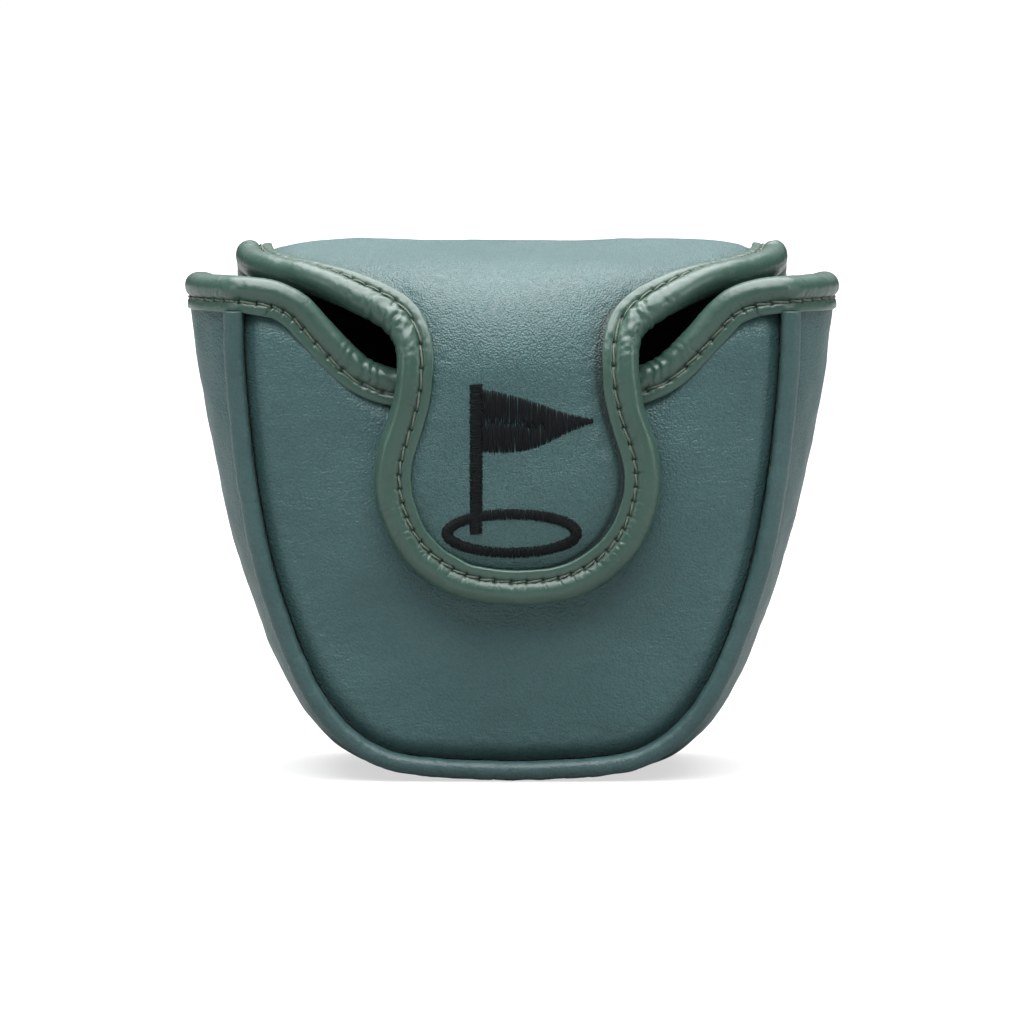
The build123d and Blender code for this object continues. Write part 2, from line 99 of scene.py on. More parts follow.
# Flap and tongue to the binding's outer edge: (half width, t along the strip)
STRIP_HALF = [
    (64.2, 0), (64.2, 8), (63.7, 18), (61.3, 28), (55.6, 37.5), (46.5, 47.6),
    (37.0, 55.6), (31.8, 59.6), (28.8, 62.8), (27.4, 66.5), (27.1, 70.5), (27.6, 76),
    (29.3, 82.7), (31.4, 89.4), (32.2, 96.2), (31.1, 103.4), (27.3, 111.9),
    (20.3, 119), (11.3, 123.3), (0, 124.6),
]
# The rim's top edge: (half width, height) in front, (y, height) at the sides, and its plan (x, y)
RIM_FRONT = [
    (0, 93.2), (14, 93.2), (24, 93.2), (27.4, 93.7), (29.7, 94.6), (31.9, 95.6),
    (34.2, 97.3), (36.5, 99.6), (39.6, 102.9), (41.9, 105.4), (44.1, 108.0),
    (46.8, 110.4), (49.5, 112.0), (52.3, 113.1), (56.8, 114.0), (61.3, 114.4),
]
RIM_SIDE = [
    (-23, 114.4), (-12, 114.4), (-2, 114.4), (3, 114.3), (7, 113.8), (10.5, 112.7),
    (14, 110.8), (17, 108.8), (19.5, 107.7), (23.5, 107.2),
]
RIM_PLAN = [
    (0, -23.75), (30, -23.75), (52, -23.75), (57.5, -23.5), (61.2, -22.1), (63.7, -19.2),
    (67.4, -14), (70.5, -7), (71.5, 0), (70.5, 7), (67.4, 14), (63.7, 19.2), (61.2, 22.2),
    (60.5, 23.6),
]
# Section of one face of a binding: (in from its outer edge, height above its middle)
RING = [
    (8.55, 1.5), (8.75, 2.0), (8.78, 2.5), (8.6, 2.85), (8.2, 3.0), (7.6, 3.02), (7.0, 2.98),
    (6.5, 2.88), (6.1, 2.66), (5.85, 2.42), (5.6, 2.34), (5.35, 2.48), (5.0, 2.82),
    (4.5, 3.16), (3.9, 3.4), (3.2, 3.52), (2.5, 3.48), (1.8, 3.26), (1.2, 2.86),
    (0.65, 2.25), (0.25, 1.45), (0.05, 0.6),
]


# ---- Curves, noise and meshes ----

def spline(points, count=1600):
    """Dense natural cubic spline through the points."""
    p = np.array(points, float)
    chord = np.sqrt(((p[1:] - p[:-1]) ** 2).sum(1)) ** 0.75
    u = np.concatenate([[0], np.cumsum(chord)])
    n = len(p)
    h = np.diff(u)
    system = np.zeros((n, n))
    right = np.zeros((n, p.shape[1]))
    system[0, 0] = system[-1, -1] = 1
    for i in range(1, n - 1):
        system[i, i - 1 : i + 2] = h[i - 1], 2 * (h[i - 1] + h[i]), h[i]
        right[i] = 6 * ((p[i + 1] - p[i]) / h[i] - (p[i] - p[i - 1]) / h[i - 1])
    bend = np.linalg.solve(system, right)
    at = np.linspace(0, u[-1], count)
    k = np.clip(np.searchsorted(u, at, side="right") - 1, 0, n - 2)
    a = ((u[k + 1] - at) / h[k])[:, None]
    b = ((at - u[k]) / h[k])[:, None]
    squared = (h[k] ** 2)[:, None] / 6
    return a * p[k] + b * p[k + 1] + ((a**3 - a) * bend[k] + (b**3 - b) * bend[k + 1]) * squared


def lengths(line):
    return np.concatenate([[0], np.cumsum(np.sqrt(((line[1:] - line[:-1]) ** 2).sum(1)))])


def resample(line, count):
    run = lengths(line)
    at = np.linspace(0, run[-1], count)
    return np.stack([np.interp(at, run, line[:, i]) for i in range(line.shape[1])], 1)


def by_step(line, step):
    return resample(line, int(round(lengths(line)[-1] / step)) + 1)


def mirrored(half):
    """Full outline, left end first, from a half that starts on the centre line."""
    left = half[1:][::-1] * np.array([-1, 1])
    return np.concatenate([left, half])


def right_of(line):
    """Unit normals to the right of the direction of travel."""
    along = np.gradient(line, axis=0)
    along /= np.sqrt((along**2).sum(1))[:, None]
    return np.stack([along[:, 1], -along[:, 0]], 1)


def distance_to(line, x, y):
    """Distance from each point to a dense line."""
    flat = np.stack([x.ravel(), y.ravel()], 1)
    best = np.full(len(flat), 1e9)
    for start in range(0, len(line), 40):
        part = line[start : start + 40]
        gap = ((flat[:, None, :] - part[None, :, :]) ** 2).sum(2)
        best = np.minimum(best, gap.min(1))
    return np.sqrt(best).reshape(x.shape)


def smooth(low, high, value):
    """0 at low, 1 at high, with a soft start and end."""
    t = np.clip((value - low) / (high - low), 0, 1)
    return t * t * (3 - 2 * t)


def waves(seed, size, count=26, stretch=1.0):
    """Smooth noise of about unit strength, with features of the given size."""
    rng = np.random.default_rng(seed)
    turn = rng.uniform(0, 2 * math.pi, count)
    pace = 2 * math.pi / (size * rng.uniform(0.6, 1.7, count))
    phase = rng.uniform(0, 2 * math.pi, count)

    def value(u, v):
        total = 0.0
        for a, b, c in zip(pace * np.cos(turn) / stretch, pace * np.sin(turn), phase):
            total = total + np.sin(a * u + b * v + c)
        return total / math.sqrt(count / 2)

    return value


def grid_normals(points):
    """Unit normals of a grid of points."""
    normal = np.cross(np.gradient(points, axis=0), np.gradient(points, axis=1))
    size = np.sqrt((normal**2).sum(2))[..., None]
    return normal / np.maximum(size, 1e-9)


def make_mesh(name, points, faces, material, flat=None, painted_shade=None, normals=None, painted_highlight=None):
    points = np.asarray(points, float).reshape(-1, 3)
    mesh = bpy.data.meshes.new(name)
    faces = np.asarray(faces, np.int32)
    mesh.vertices.add(len(points))
    mesh.vertices.foreach_set("co", (points * MM).astype(np.float32).ravel())
    mesh.loops.add(faces.size)
    mesh.loops.foreach_set("vertex_index", faces.ravel())
    mesh.polygons.add(len(faces))
    mesh.polygons.foreach_set("loop_start", np.arange(0, faces.size, faces.shape[1], dtype=np.int32))
    mesh.polygons.foreach_set("use_smooth", np.ones(len(faces), bool))
    mesh.update(calc_edges=True)
    mesh.validate()
    spread = mesh.attributes.new("flat", "FLOAT_VECTOR", "POINT")
    spread.data.foreach_set("vector", (points if flat is None else flat).astype(np.float32).ravel())
    for label, values in (("painted_shade", painted_shade), ("painted_highlight", painted_highlight)):
        if values is not None:
            held = mesh.attributes.new(label, "FLOAT", "POINT")
            held.data.foreach_set("value", np.asarray(values, np.float32).ravel())
    if normals is not None:
        mesh.normals_split_custom_set_from_vertices(np.asarray(normals).reshape(-1, 3).tolist())
    obj = bpy.data.objects.new(name, mesh)
    bpy.context.scene.collection.objects.link(obj)
    mesh.materials.append(material)
    return obj


def grid_faces(rows, columns, start=0, flip=False, wrap=False):
    i, j = np.meshgrid(np.arange(rows - 1), np.arange(columns if wrap else columns - 1), indexing="ij")
    k = (j + 1) % columns
    quads = [start + i * columns + j, start + i * columns + k]
    quads += [start + (i + 1) * columns + k, start + (i + 1) * columns + j]
    if flip:
        quads = quads[::-1]
    return np.stack([q.ravel() for q in quads], 1)


def triangles(quads):
    return np.concatenate([quads[:, [0, 1, 2]], quads[:, [0, 2, 3]]])


def rotated_frames(path):
    """Frames along a path that don't twist."""
    along = np.gradient(path, axis=0)
    along /= np.sqrt((along**2).sum(1))[:, None]
    side = np.cross(along[0], (0.0, 1.0, 0.2))
    side /= np.linalg.norm(side)
    sides = []
    for direction in along:
        side = side - direction * side.dot(direction)
        side /= np.linalg.norm(side)
        sides.append(side)
    sides = np.array(sides)
    return along, sides, np.cross(along, sides)


def tube(path, radius, around):
    """Points and triangles of a capped tube; the radius may differ per point and direction."""
    _, side, up = rotated_frames(path)
    turn = np.arange(around) * 2 * math.pi / around
    radius = np.asarray(radius, float)
    if radius.ndim == 1:
        radius = radius[:, None]
    radius = np.broadcast_to(radius, (len(path), around))
    ring = (
        path[:, None, :]
        + (radius * np.cos(turn))[..., None] * side[:, None, :]
        + (radius * np.sin(turn))[..., None] * up[:, None, :]
    )
    points = np.concatenate([ring.reshape(-1, 3), path[:1], path[-1:]])
    k = np.arange(around)
    after = (k + 1) % around
    last = (len(path) - 1) * around
    first_cap = np.stack([k * 0 + len(points) - 2, after, k], 1)
    last_cap = np.stack([k * 0 + len(points) - 1, last + k, last + after], 1)
    sides = triangles(grid_faces(len(path), around, wrap=True))
    return points, np.concatenate([sides, first_cap, last_cap])


def joined_tubes(name, paths, radii, material, around=7):
    """One object made of many short capped tubes."""
    points, faces, start = [], [], 0
    for path, radius in zip(paths, radii):
        tube_points, tube_faces = tube(path, radius, around)
        points.append(tube_points)
        faces.append(tube_faces + start)
        start += len(tube_points)
    return make_mesh(name, np.concatenate(points), np.concatenate(faces), material)


def sheet_faces(rows, columns, sides, flip=False):
    """Quads of two equal grids, one after the other, and of the walls along some of their edges."""
    count = rows * columns
    index = np.arange(count).reshape(rows, columns)
    edges = {"left": index[:, 0], "right": index[:, -1][::-1], "foot": index[0][::-1], "top": index[-1]}
    faces = [grid_faces(rows, columns, 0, flip), grid_faces(rows, columns, count, not flip)]
    for side in sides:
        a, b = edges[side][:-1], edges[side][1:]
        wall = np.stack([a, b, b + count, a + count], 1)
        faces.append(wall[:, ::-1] if flip else wall)
    return np.concatenate(faces)


def both(outer, inner, width):
    """Values of two grids in one list, with so many numbers to a point."""
    return np.concatenate([outer.reshape(-1, width), inner.reshape(-1, width)])


def finish_piece(obj, nodes, holder="pouch"):
    """The piece rides on a body, or stays in place unparented when it is given a bend, and stands for the
    CAD nodes.
    """
    if holder in frame["bodies"]:
        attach(obj, holder)
    else:
        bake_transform(obj)
    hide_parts(*nodes)


def pouch_layer(name, outer, inner, material, node, slot, fill=None, *, flat, painted_shade):
    """A layer of the pouch, from two grids of the same size."""
    faces = sheet_faces(*outer.shape[:2], ("left", "right", "foot", "top"))
    obj = make_mesh(
        name, both(outer, inner, 3), faces, material, flat=both(flat, flat, 3), painted_shade=both(painted_shade, painted_shade * 0, 1)
    )
    finish_piece(obj, [node])


# ---- The strip that makes back panel, flap and tongue, and the rim's wall ----

def strip(x, t, w):
    """Point on the strip: x across, t along from the hinge, w outwards from its middle."""
    x, t, w = np.broadcast_arrays(np.asarray(x, float), np.asarray(t, float), np.asarray(w, float))
    face_y, face_z = math.cos(FLAP_TILT), math.sin(FLAP_TILT)
    # up the back panel
    y = BACK_REACH + w
    z = HINGE_HEIGHT + t
    # over the rear fold
    reach = REAR_FOLD_RADIUS + w
    angle = (t - REAR_FOLD_START) / REAR_FOLD_RADIUS
    on = t >= REAR_FOLD_START
    y = np.where(on, REAR_FOLD_Y + reach * np.cos(angle), y)
    z = np.where(on, REAR_FOLD_Z + reach * np.sin(angle), z)
    # along the flap
    run = t - FLAP_START
    on = t >= FLAP_START
    y = np.where(on, REAR_FOLD_Y + reach * face_y - run * face_z, y)
    z = np.where(on, REAR_FOLD_Z + reach * face_z + run * face_y, z)
    # over the front fold
    reach = FRONT_FOLD_RADIUS + w
    angle = FLAP_TILT + (t - FRONT_FOLD_START) / FRONT_FOLD_RADIUS
    on = t >= FRONT_FOLD_START
    y = np.where(on, FRONT_FOLD_Y + reach * np.cos(angle), y)
    z = np.where(on, FRONT_FOLD_Z + reach * np.sin(angle), z)
    # down the tongue
    on = t >= TONGUE_START
    y = np.where(on, FRONT_FOLD_Y - reach, y)
    z = np.where(on, FRONT_FOLD_Z - (t - TONGUE_START), z)
    return np.stack([x, y, z], -1)


plan_half = spline(RIM_PLAN)
plan_line = mirrored(plan_half)
plan_run = lengths(plan_line)
plan_run -= plan_run[-1] / 2
plan_side = right_of(plan_line)
PLAN_END = plan_run[-1]


def rim_wall(run, z, w):
    """Point on the rim's wall: run along the plan, z up, w outwards."""
    run = np.asarray(run, float)
    x = np.interp(run, plan_run, plan_line[:, 0])
    y = np.interp(run, plan_run, plan_line[:, 1])
    nx = np.interp(run, plan_run, plan_side[:, 0])
    ny = np.interp(run, plan_run, plan_side[:, 1])
    size = np.sqrt(nx**2 + ny**2)
    x, nx, z, w = np.broadcast_arrays(x, nx / size, z, w)
    return np.stack([x + w * nx, y + w * ny / size, z], -1)


rim_front = spline(RIM_FRONT)
rim_side = spline(RIM_SIDE)


def rim_top(run):
    """Height of the rim at a place along the plan."""
    x = np.interp(np.abs(run), plan_run, plan_line[:, 0])
    y = np.interp(np.abs(run), plan_run, plan_line[:, 1])
    front = np.interp(x, rim_front[:, 0], rim_front[:, 1])
    side = np.interp(y, rim_side[:, 0], rim_side[:, 1])
    return np.where(y < -21, front, side)


def side_top(y):
    return np.interp(y, rim_side[:, 0], rim_side[:, 1])


def front_top(x):
    return np.interp(np.abs(x), rim_front[:, 0], rim_front[:, 1])


panel_half = spline(PANEL_HALF)
panel_line = mirrored(panel_half)
gusset_half = spline(GUSSET_HALF)
outer_half = spline(STRIP_HALF)
outer_line = mirrored(outer_half[::-1])


# ---- Materials ----

class Nodes:
    """Short ways to add nodes to a material's or the world's tree."""

    def __init__(self, owner, output):
        owner.use_nodes = True
        self.tree = owner.node_tree
        self.shader = self.tree.nodes[output]

    def add(self, kind, inputs=None, **settings):
        node = self.tree.nodes.new(kind)
        for key, value in settings.items():
            setattr(node, key, value)
        for key, value in (inputs or {}).items():
            if isinstance(value, bpy.types.NodeSocket):
                self.tree.links.new(value, node.inputs[key])
            else:
                node.inputs[key].default_value = value
        return node

    def link(self, source, target):
        self.tree.links.new(source, target)

    def math(self, operation, *values):
        return self.add("ShaderNodeMath", dict(enumerate(values)), operation=operation).outputs[0]

    def step(self, value, low, high, bottom, top):
        inputs = {"Value": value, "From Min": low, "From Max": high, "To Min": bottom, "To Max": top}
        return self.add("ShaderNodeMapRange", inputs, interpolation_type="SMOOTHSTEP").outputs[0]

    def scaled(self, vector, scale):
        return self.add("ShaderNodeVectorMath", {0: vector, 1: scale}, operation="MULTIPLY").outputs[0]

    def mixed(self, first, second, share):
        """Sum of two numbers, with the second one's share."""
        return self.math(
            "ADD", self.math("MULTIPLY", first, 1 - share), self.math("MULTIPLY", second, share)
        )

    def ramp(self, value, stops):
        node = self.add("ShaderNodeValToRGB", {0: value})
        ramp = node.color_ramp
        ramp.elements[0].position, ramp.elements[0].color = stops[0][0], stops[0][1]
        ramp.elements[1].position, ramp.elements[1].color = stops[-1][0], stops[-1][1]
        for place, colour in stops[1:-1]:
            ramp.elements.new(place).color = colour
        return node.outputs[0]

    def noise(self, vector, scale, detail=3.0, rough=0.55, distortion=0.0):
        inputs = {"Vector": vector, "Scale": scale, "Detail": detail}
        inputs.update({"Roughness": rough, "Distortion": distortion})
        return self.add("ShaderNodeTexNoise", inputs).outputs[0]

    def blend(self, first, second, share, kind="MIX"):
        inputs = {0: share, 6: first, 7: second}
        return self.add("ShaderNodeMix", inputs, data_type="RGBA", blend_type=kind).outputs[2]

    def bump(self, height, distance, normal=None):
        inputs = {"Height": height, "Distance": distance, "Strength": 1.0}
        if normal is not None:
            inputs["Normal"] = normal
        return self.add("ShaderNodeBump", inputs).outputs[0]


class MaterialNodes(Nodes):
    def __init__(self, name):
        self.material = bpy.data.materials.new(name)
        super().__init__(self.material, "Principled BSDF")


def grey(v):
    return (v, v, v, 1)


# painted highlight: how much paler than the leather's light tone the binding's lip is painted
HIGHLIGHT_TINT = (1.512, 1.512, 1.485)


def leather(name, dark, light, rough=(0.36, 0.46), pebble=1.3, pebble_depth=0.00022,
            wrinkle=(0.55, 0.55, 0.55), wrinkle_depth=0.00022, coat=0.0, valley_shade=0.84):
    """Coated leather: pebbled grain, fine wrinkles and uneven tone, with painted shade in the grain's
    valleys and where one point attribute asks for it, and a painted highlight where another does.
    """
    n = MaterialNodes(name)
    place = n.add("ShaderNodeAttribute", attribute_name="flat").outputs["Vector"]
    painted_shade = n.add("ShaderNodeAttribute", attribute_name="painted_shade").outputs["Fac"]
    painted_highlight = n.add("ShaderNodeAttribute", attribute_name="painted_highlight").outputs["Fac"]
    drift = n.add("ShaderNodeTexNoise", {"Vector": place, "Scale": 0.5, "Detail": 1.0}).outputs["Color"]
    bent = n.add("ShaderNodeVectorMath", {0: place, 1: drift}, operation="ADD").outputs[0]
    grain = n.add("ShaderNodeTexVoronoi", {"Vector": bent, "Scale": pebble}).outputs["Distance"]
    fine = n.noise(place, 3.2, 3, 0.6)
    crease = n.noise(n.scaled(place, wrinkle), 1.0, 5, 0.6, 0.8)
    tone = n.noise(place, 0.035, 3, 0.5)
    blotch = n.noise(place, 0.5, 3, 0.6)
    colour = n.ramp(n.mixed(tone, blotch, 0.15), [(0.38, (*dark, 1)), (0.64, (*light, 1))])
    # painted shade in the grain's valleys
    valley = n.ramp(grain, [(0.3, grey(1.0)), (0.75, grey(valley_shade))])
    colour = n.blend(colour, valley, 1.0, "MULTIPLY")
    # painted highlight, blended in where the point attribute asks for it
    highlight_colour = [tint * c for tint, c in zip(HIGHLIGHT_TINT, light)]
    colour = n.blend(colour, (*highlight_colour, 1), painted_highlight)
    # painted shade: the colour goes almost black where the point attribute asks for it
    colour = n.blend(colour, (*[0.12 * c for c in dark], 1), painted_shade)
    n.link(colour, n.shader.inputs["Base Color"])
    gloss = n.mixed(crease, blotch, 0.4)
    n.link(n.ramp(gloss, [(0.3, grey(rough[0])), (0.7, grey(rough[1]))]), n.shader.inputs["Roughness"])
    wrinkled = n.bump(crease, wrinkle_depth)
    pebbled = n.bump(n.math("MULTIPLY", grain, -1.0), pebble_depth, wrinkled)
    n.link(n.bump(fine, 0.000018, pebbled), n.shader.inputs["Normal"])
    if coat:
        n.shader.inputs["Coat Weight"].default_value = coat
        n.shader.inputs["Coat Roughness"].default_value = 0.22
    return n.material


def cloth(name, dark, light, rough=0.95, scale=1.6, depth=0.0003, sheen=0.3):
    """Short-pile or felted cloth."""
    n = MaterialNodes(name)
    place = n.add("ShaderNodeAttribute", attribute_name="flat").outputs["Vector"]
    pile = n.noise(place, scale, 6, 0.75, 0.4)
    both = n.mixed(pile, n.noise(place, 0.12, 3), 0.3)
    n.link(n.ramp(both, [(0.35, (*dark, 1)), (0.68, (*light, 1))]), n.shader.inputs["Base Color"])
    n.link(n.bump(pile, depth), n.shader.inputs["Normal"])
    n.shader.inputs["Roughness"].default_value = rough
    n.shader.inputs["Sheen Weight"].default_value = sheen
    n.shader.inputs["Specular IOR Level"].default_value = 0.2
    return n.material


def yarn(name, dark, light, rough=0.45, twist=2.4, gloss=0.35):
    """Plied sewing thread."""
    n = MaterialNodes(name)
    place = n.add("ShaderNodeTexCoord").outputs["Object"]
    ply = n.add(
        "ShaderNodeTexWave",
        {"Vector": place, "Scale": 900.0 * twist, "Distortion": 1.5, "Detail": 2.0},
        wave_type="BANDS", bands_direction="DIAGONAL",
    ).outputs["Fac"]
    both = n.mixed(ply, n.noise(place, 4200.0, 3, 0.7), 0.35)
    n.link(n.ramp(both, [(0.2, (*dark, 1)), (0.75, (*light, 1))]), n.shader.inputs["Base Color"])
    n.link(n.bump(both, 0.00006), n.shader.inputs["Normal"])
    n.shader.inputs["Roughness"].default_value = rough
    n.shader.inputs["Specular IOR Level"].default_value = gloss
    return n.material


def metal(name, colour):
    """Brushed metal."""
    n = MaterialNodes(name)
    place = n.add("ShaderNodeTexCoord").outputs["Object"]
    marks = n.noise(n.scaled(place, (900.0, 900.0, 4000.0)), 1.0, 4, 0.6)
    dark = [0.85 * c for c in colour]
    n.link(n.ramp(marks, [(0.3, (*dark, 1)), (0.7, (*colour, 1))]), n.shader.inputs["Base Color"])
    n.link(n.ramp(marks, [(0.3, grey(0.22)), (0.7, grey(0.36))]), n.shader.inputs["Roughness"])
    n.link(n.bump(marks, 0.00001), n.shader.inputs["Normal"])
    n.shader.inputs["Metallic"].default_value = 1.0
    return n.material


teal = leather(
    "teal_leather", (0.040, 0.098, 0.101), (0.049, 0.116, 0.119),
    wrinkle=(0.30, 1.05, 0.9), wrinkle_depth=0.00014, pebble=1.9, pebble_depth=0.00017,
)
flap_teal = leather(
    "flap_leather", (0.041, 0.104, 0.106), (0.050, 0.121, 0.123), rough=(0.38, 0.46),
    wrinkle=(0.42, 0.42, 0.42), wrinkle_depth=0.00005, pebble=2.3, pebble_depth=0.00017, valley_shade=0.7,
)
piping_teal = leather(
    "piping_leather", (0.038, 0.086, 0.088), (0.050, 0.106, 0.108), rough=(0.32, 0.42),
    wrinkle=(0.8, 0.8, 0.8), wrinkle_depth=0.00018, pebble=1.7, pebble_depth=0.00004,
)
sage = leather(
    "binding_leather", (0.035, 0.079, 0.061), (0.045, 0.096, 0.076), rough=(0.27, 0.36),
    wrinkle=(0.45, 0.45, 0.45), wrinkle_depth=0.00014, pebble=2.6, pebble_depth=0.000014,
    coat=0.1, valley_shade=0.95,
)
plush = cloth("black_plush", (0.0025, 0.0022, 0.002), (0.012, 0.011, 0.01))
padding = cloth("foam_padding", (0.5, 0.48, 0.42), (0.7, 0.68, 0.6), 0.9, 2.5, 0.0001, 0.0)
patch_cloth = cloth("patch_cloth", (0.01, 0.01, 0.011), (0.03, 0.03, 0.032), 0.9, 3.0, 0.0001, 0.1)
cord_white = yarn("cord_fibre", (0.45, 0.43, 0.38), (0.7, 0.67, 0.6), 0.8, 0.6)
olive = yarn("olive_thread", (0.05, 0.066, 0.05), (0.19, 0.235, 0.185))
seam_yarn = yarn("seam_thread", (0.02, 0.03, 0.03), (0.07, 0.09, 0.088))
satin_yarn = yarn(
    "embroidery_thread", (0.0015, 0.0022, 0.003), (0.009, 0.0115, 0.0135), 0.42, 3.0, 0.16
)
nickel = metal("magnet_nickel", (0.62, 0.6, 0.56))


# ---- Back panel, flap and tongue ----

BINDING_COVER = 7.9  # how far in from the strip's outline the binding's inner edge lies
SHEET_INSET = 3.7  # the sheets end this far inside the binding's outer edge
FLAP_LOW, FLAP_CROWN = 1.25, 2.5  # the leather's height at the binding, and its rise to the middle
FLAP_SLOPE = 5.0
NARROWEST = 0.02  # half width of a grid's row where the outline comes to a point


def edge_shift(line, distance):
    """The line moved to its right, or to its left where the distance is negative."""
    return line + right_of(line) * distance


def cut_at(line, top):
    return line[line[:, 1] <= top]


def outline_rows(edge, step):
    rows = by_step(edge, step)
    rows[:, 0] = np.maximum(rows[:, 0], NARROWEST)
    return rows


def flap_height(to_outline):
    """Height of the padded leather by its distance from the strip's outline."""
    past = np.maximum(to_outline - BINDING_COVER, 0)
    return FLAP_LOW + FLAP_CROWN * (1 - np.exp(-past / FLAP_SLOPE))


def bulge(distance, width):
    """A smooth bump, 1 at no distance."""
    return np.exp(-((distance / width) ** 2))


# The outline: back panel, the narrowing beside the hinge, then flap and tongue under the binding
to_hinge = np.array([0, HINGE_HEIGHT])
sheet_half = edge_shift(outer_half, -SHEET_INSET)
sheet_half[-1, 0] = 0.0
sheet_half = sheet_half[sheet_half[:, 1] > 9]
back_half = panel_half[panel_half[:, 1] < 103] - to_hinge
narrowing = spline([back_half[-1], (60.9, -3), (60.7, 1), (60.5, 6), sheet_half[0]], 200)
strip_edge = np.concatenate([back_half, narrowing[1:-1], sheet_half])
strip_edge = strip_edge[np.concatenate([[True], np.diff(strip_edge[:, 1]) > 1e-5])]

COLUMNS = 141
REAR_STEP, FORE_STEP = 0.72, 0.62
across = np.linspace(-1, 1, COLUMNS)
split_point = [[np.interp(HIDE_SPLIT, strip_edge[:, 1], strip_edge[:, 0]), HIDE_SPLIT]]
rear_edge = strip_edge[strip_edge[:, 1] < HIDE_SPLIT]
fore_edge = strip_edge[strip_edge[:, 1] >= HIDE_SPLIT]
rear_rows = outline_rows(np.concatenate([rear_edge, split_point]), REAR_STEP)
fore_rows = outline_rows(np.concatenate([split_point, fore_edge]), FORE_STEP)
all_rows = np.concatenate([rear_rows, fore_rows[1:]])
grid_x = all_rows[:, :1] * across[None, :]
grid_t = np.repeat(all_rows[:, 1:], COLUMNS, 1)
to_binding = distance_to(outer_line[::2], grid_x, grid_t)
to_piping = distance_to(panel_line[::2] - to_hinge, grid_x, grid_t)

low_wave = waves(11, 38)
mid_wave = waves(12, 11)
fine_wave = waves(13, 4.2)


def soft_waves(x, t):
    """The hide's long and short unevenness."""
    return 0.16 * low_wave(x, t) + 0.035 * mid_wave(x, t)


on_flap = smooth(-4, 4, grid_t)
back_lift = 2.6 + 1.0 * smooth(3, 30, to_piping) - 1.6 * bulge(to_piping, 2.2)
lift = on_flap * flap_height(to_binding) + (1 - on_flap) * back_lift
loose = on_flap * smooth(7.2, 9.6, to_binding) + (1 - on_flap) * smooth(2, 7, to_piping)
texture = soft_waves(grid_x, grid_t) + 0.010 * fine_wave(grid_x, grid_t)
drawn_in = 0.06 * bulge(to_binding - 10.5, 2.2) * on_flap * waves(14, 3.4)(grid_x, grid_t)
hinge_folds = 0.12 * bulge(grid_t - 6, 9) * waves(15, 9, stretch=4)(grid_x, grid_t)
outer_w = lift + loose * (texture + drawn_in + hinge_folds)
strip_flat = np.stack([grid_x, grid_t, outer_w * 0], -1)

# Painted shade: a dark line beside the back panel's piping, and on the flap and tongue a dark line at the
# binding's inner lip, fading towards the middle
back_shade = 0.85 * bulge(to_piping, 1.1)
flap_shade = 0.6 * smooth(9.0, 8.2, to_binding) + 0.18 * smooth(13.5, 8.5, to_binding)
strip_shade = (1 - on_flap) * back_shade + on_flap * flap_shade

# The layers' surfaces, by their height above the strip's middle
leather_out = strip(grid_x, grid_t, outer_w)
leather_in = strip(grid_x, grid_t, np.minimum(outer_w - 0.5, 1.3))
foam_in = strip(grid_x, grid_t, -1.5)
lining_in = strip(grid_x, grid_t, -2.5 - 0.35 * loose + 0.05 * fine_wave(grid_x, grid_t))

# The bodies named for each hide's bend, and its start and end in metres; nothing in this script bends the
# hides
REAR_BEND = "pouch", "flap", (0, 0.026, 0.100), (0, 0.020, 0.119)
FRONT_BEND = "flap", "tongue", (0, -0.020, 0.112), (0, -0.034, 0.088)


def strip_layer(name, outer, inner, material, bend, nodes, inset=0.0, painted_shade=None):
    """One layer of the strip, for its rear or its fore hide."""
    rear = bend is REAR_BEND
    pick = slice(0, len(rear_rows)) if rear else slice(len(rear_rows) - 1, None)
    if inset:
        scale = np.ones((len(all_rows), 1, 3))
        scale[:, 0, 0] = 1 - inset / np.maximum(all_rows[:, 0], 3.0)
        outer, inner = outer * scale, inner * scale
    normals = both(grid_normals(outer)[pick], -grid_normals(inner)[pick], 3)
    outer, inner, flat = outer[pick], inner[pick], strip_flat[pick]
    faces = sheet_faces(*outer.shape[:2], ("left", "right", "foot" if rear else "top"), flip=True)
    if painted_shade is not None:
        painted_shade = both(painted_shade[pick], painted_shade[pick] * 0, 1)
    obj = make_mesh(
        name, both(outer, inner, 3), faces, material, flat=both(flat, flat, 3), painted_shade=painted_shade, normals=normals
    )
    finish_piece(obj, nodes, bend)


PAD_FILL = 0.5
for name, bend, nodes in (
    ("back_and_flap_leather", REAR_BEND, ["back_panel", "flap_shell"]),
    ("tongue_leather", FRONT_BEND, ["tongue_shell"]),
):
    strip_layer(
        name, leather_out, leather_in, flap_teal, bend, nodes,
        painted_shade=strip_shade,
    )
for name, bend, nodes in (
    ("back_and_flap_foam", REAR_BEND, ["back_foam", "flap_foam"]),
    ("tongue_foam_pad", FRONT_BEND, ["tongue_foam"]),
):
    strip_layer(name, leather_in, foam_in, padding, bend, nodes, inset=0.4)
for name, bend, nodes in (
    ("back_and_flap_lining", REAR_BEND, ["back_lining", "flap_lining"]),
    ("tongue_lining_cloth", FRONT_BEND, ["tongue_lining"]),
):
    strip_layer(name, foam_in, lining_in, plush, bend, nodes)


# ---- Front panel ----

PANEL_COLUMNS = 201
PANEL_STEP = 0.7
RIM_COVER = 3.6  # the panel's top edge lies this far below the rim's top
RIM_BAND = 8.8  # the rim binding's lower edge, below the rim's top
FOAM_FRONT = 24.8
FOAM_BACK = 22.5
LINING_BACK = 21.5

panel_rows = outline_rows(cut_at(panel_half, PANEL_TOP), PANEL_STEP)
fx = panel_rows[:, :1] * np.linspace(-1, 1, PANEL_COLUMNS)[None, :]
base = np.repeat(panel_rows[:, 1:], PANEL_COLUMNS, 1)
share = np.clip((base - PANEL_FOOT) / (PANEL_TOP - PANEL_FOOT), 0, 1) ** 1.5
fz = base + (front_top(fx) - RIM_COVER - PANEL_TOP) * share

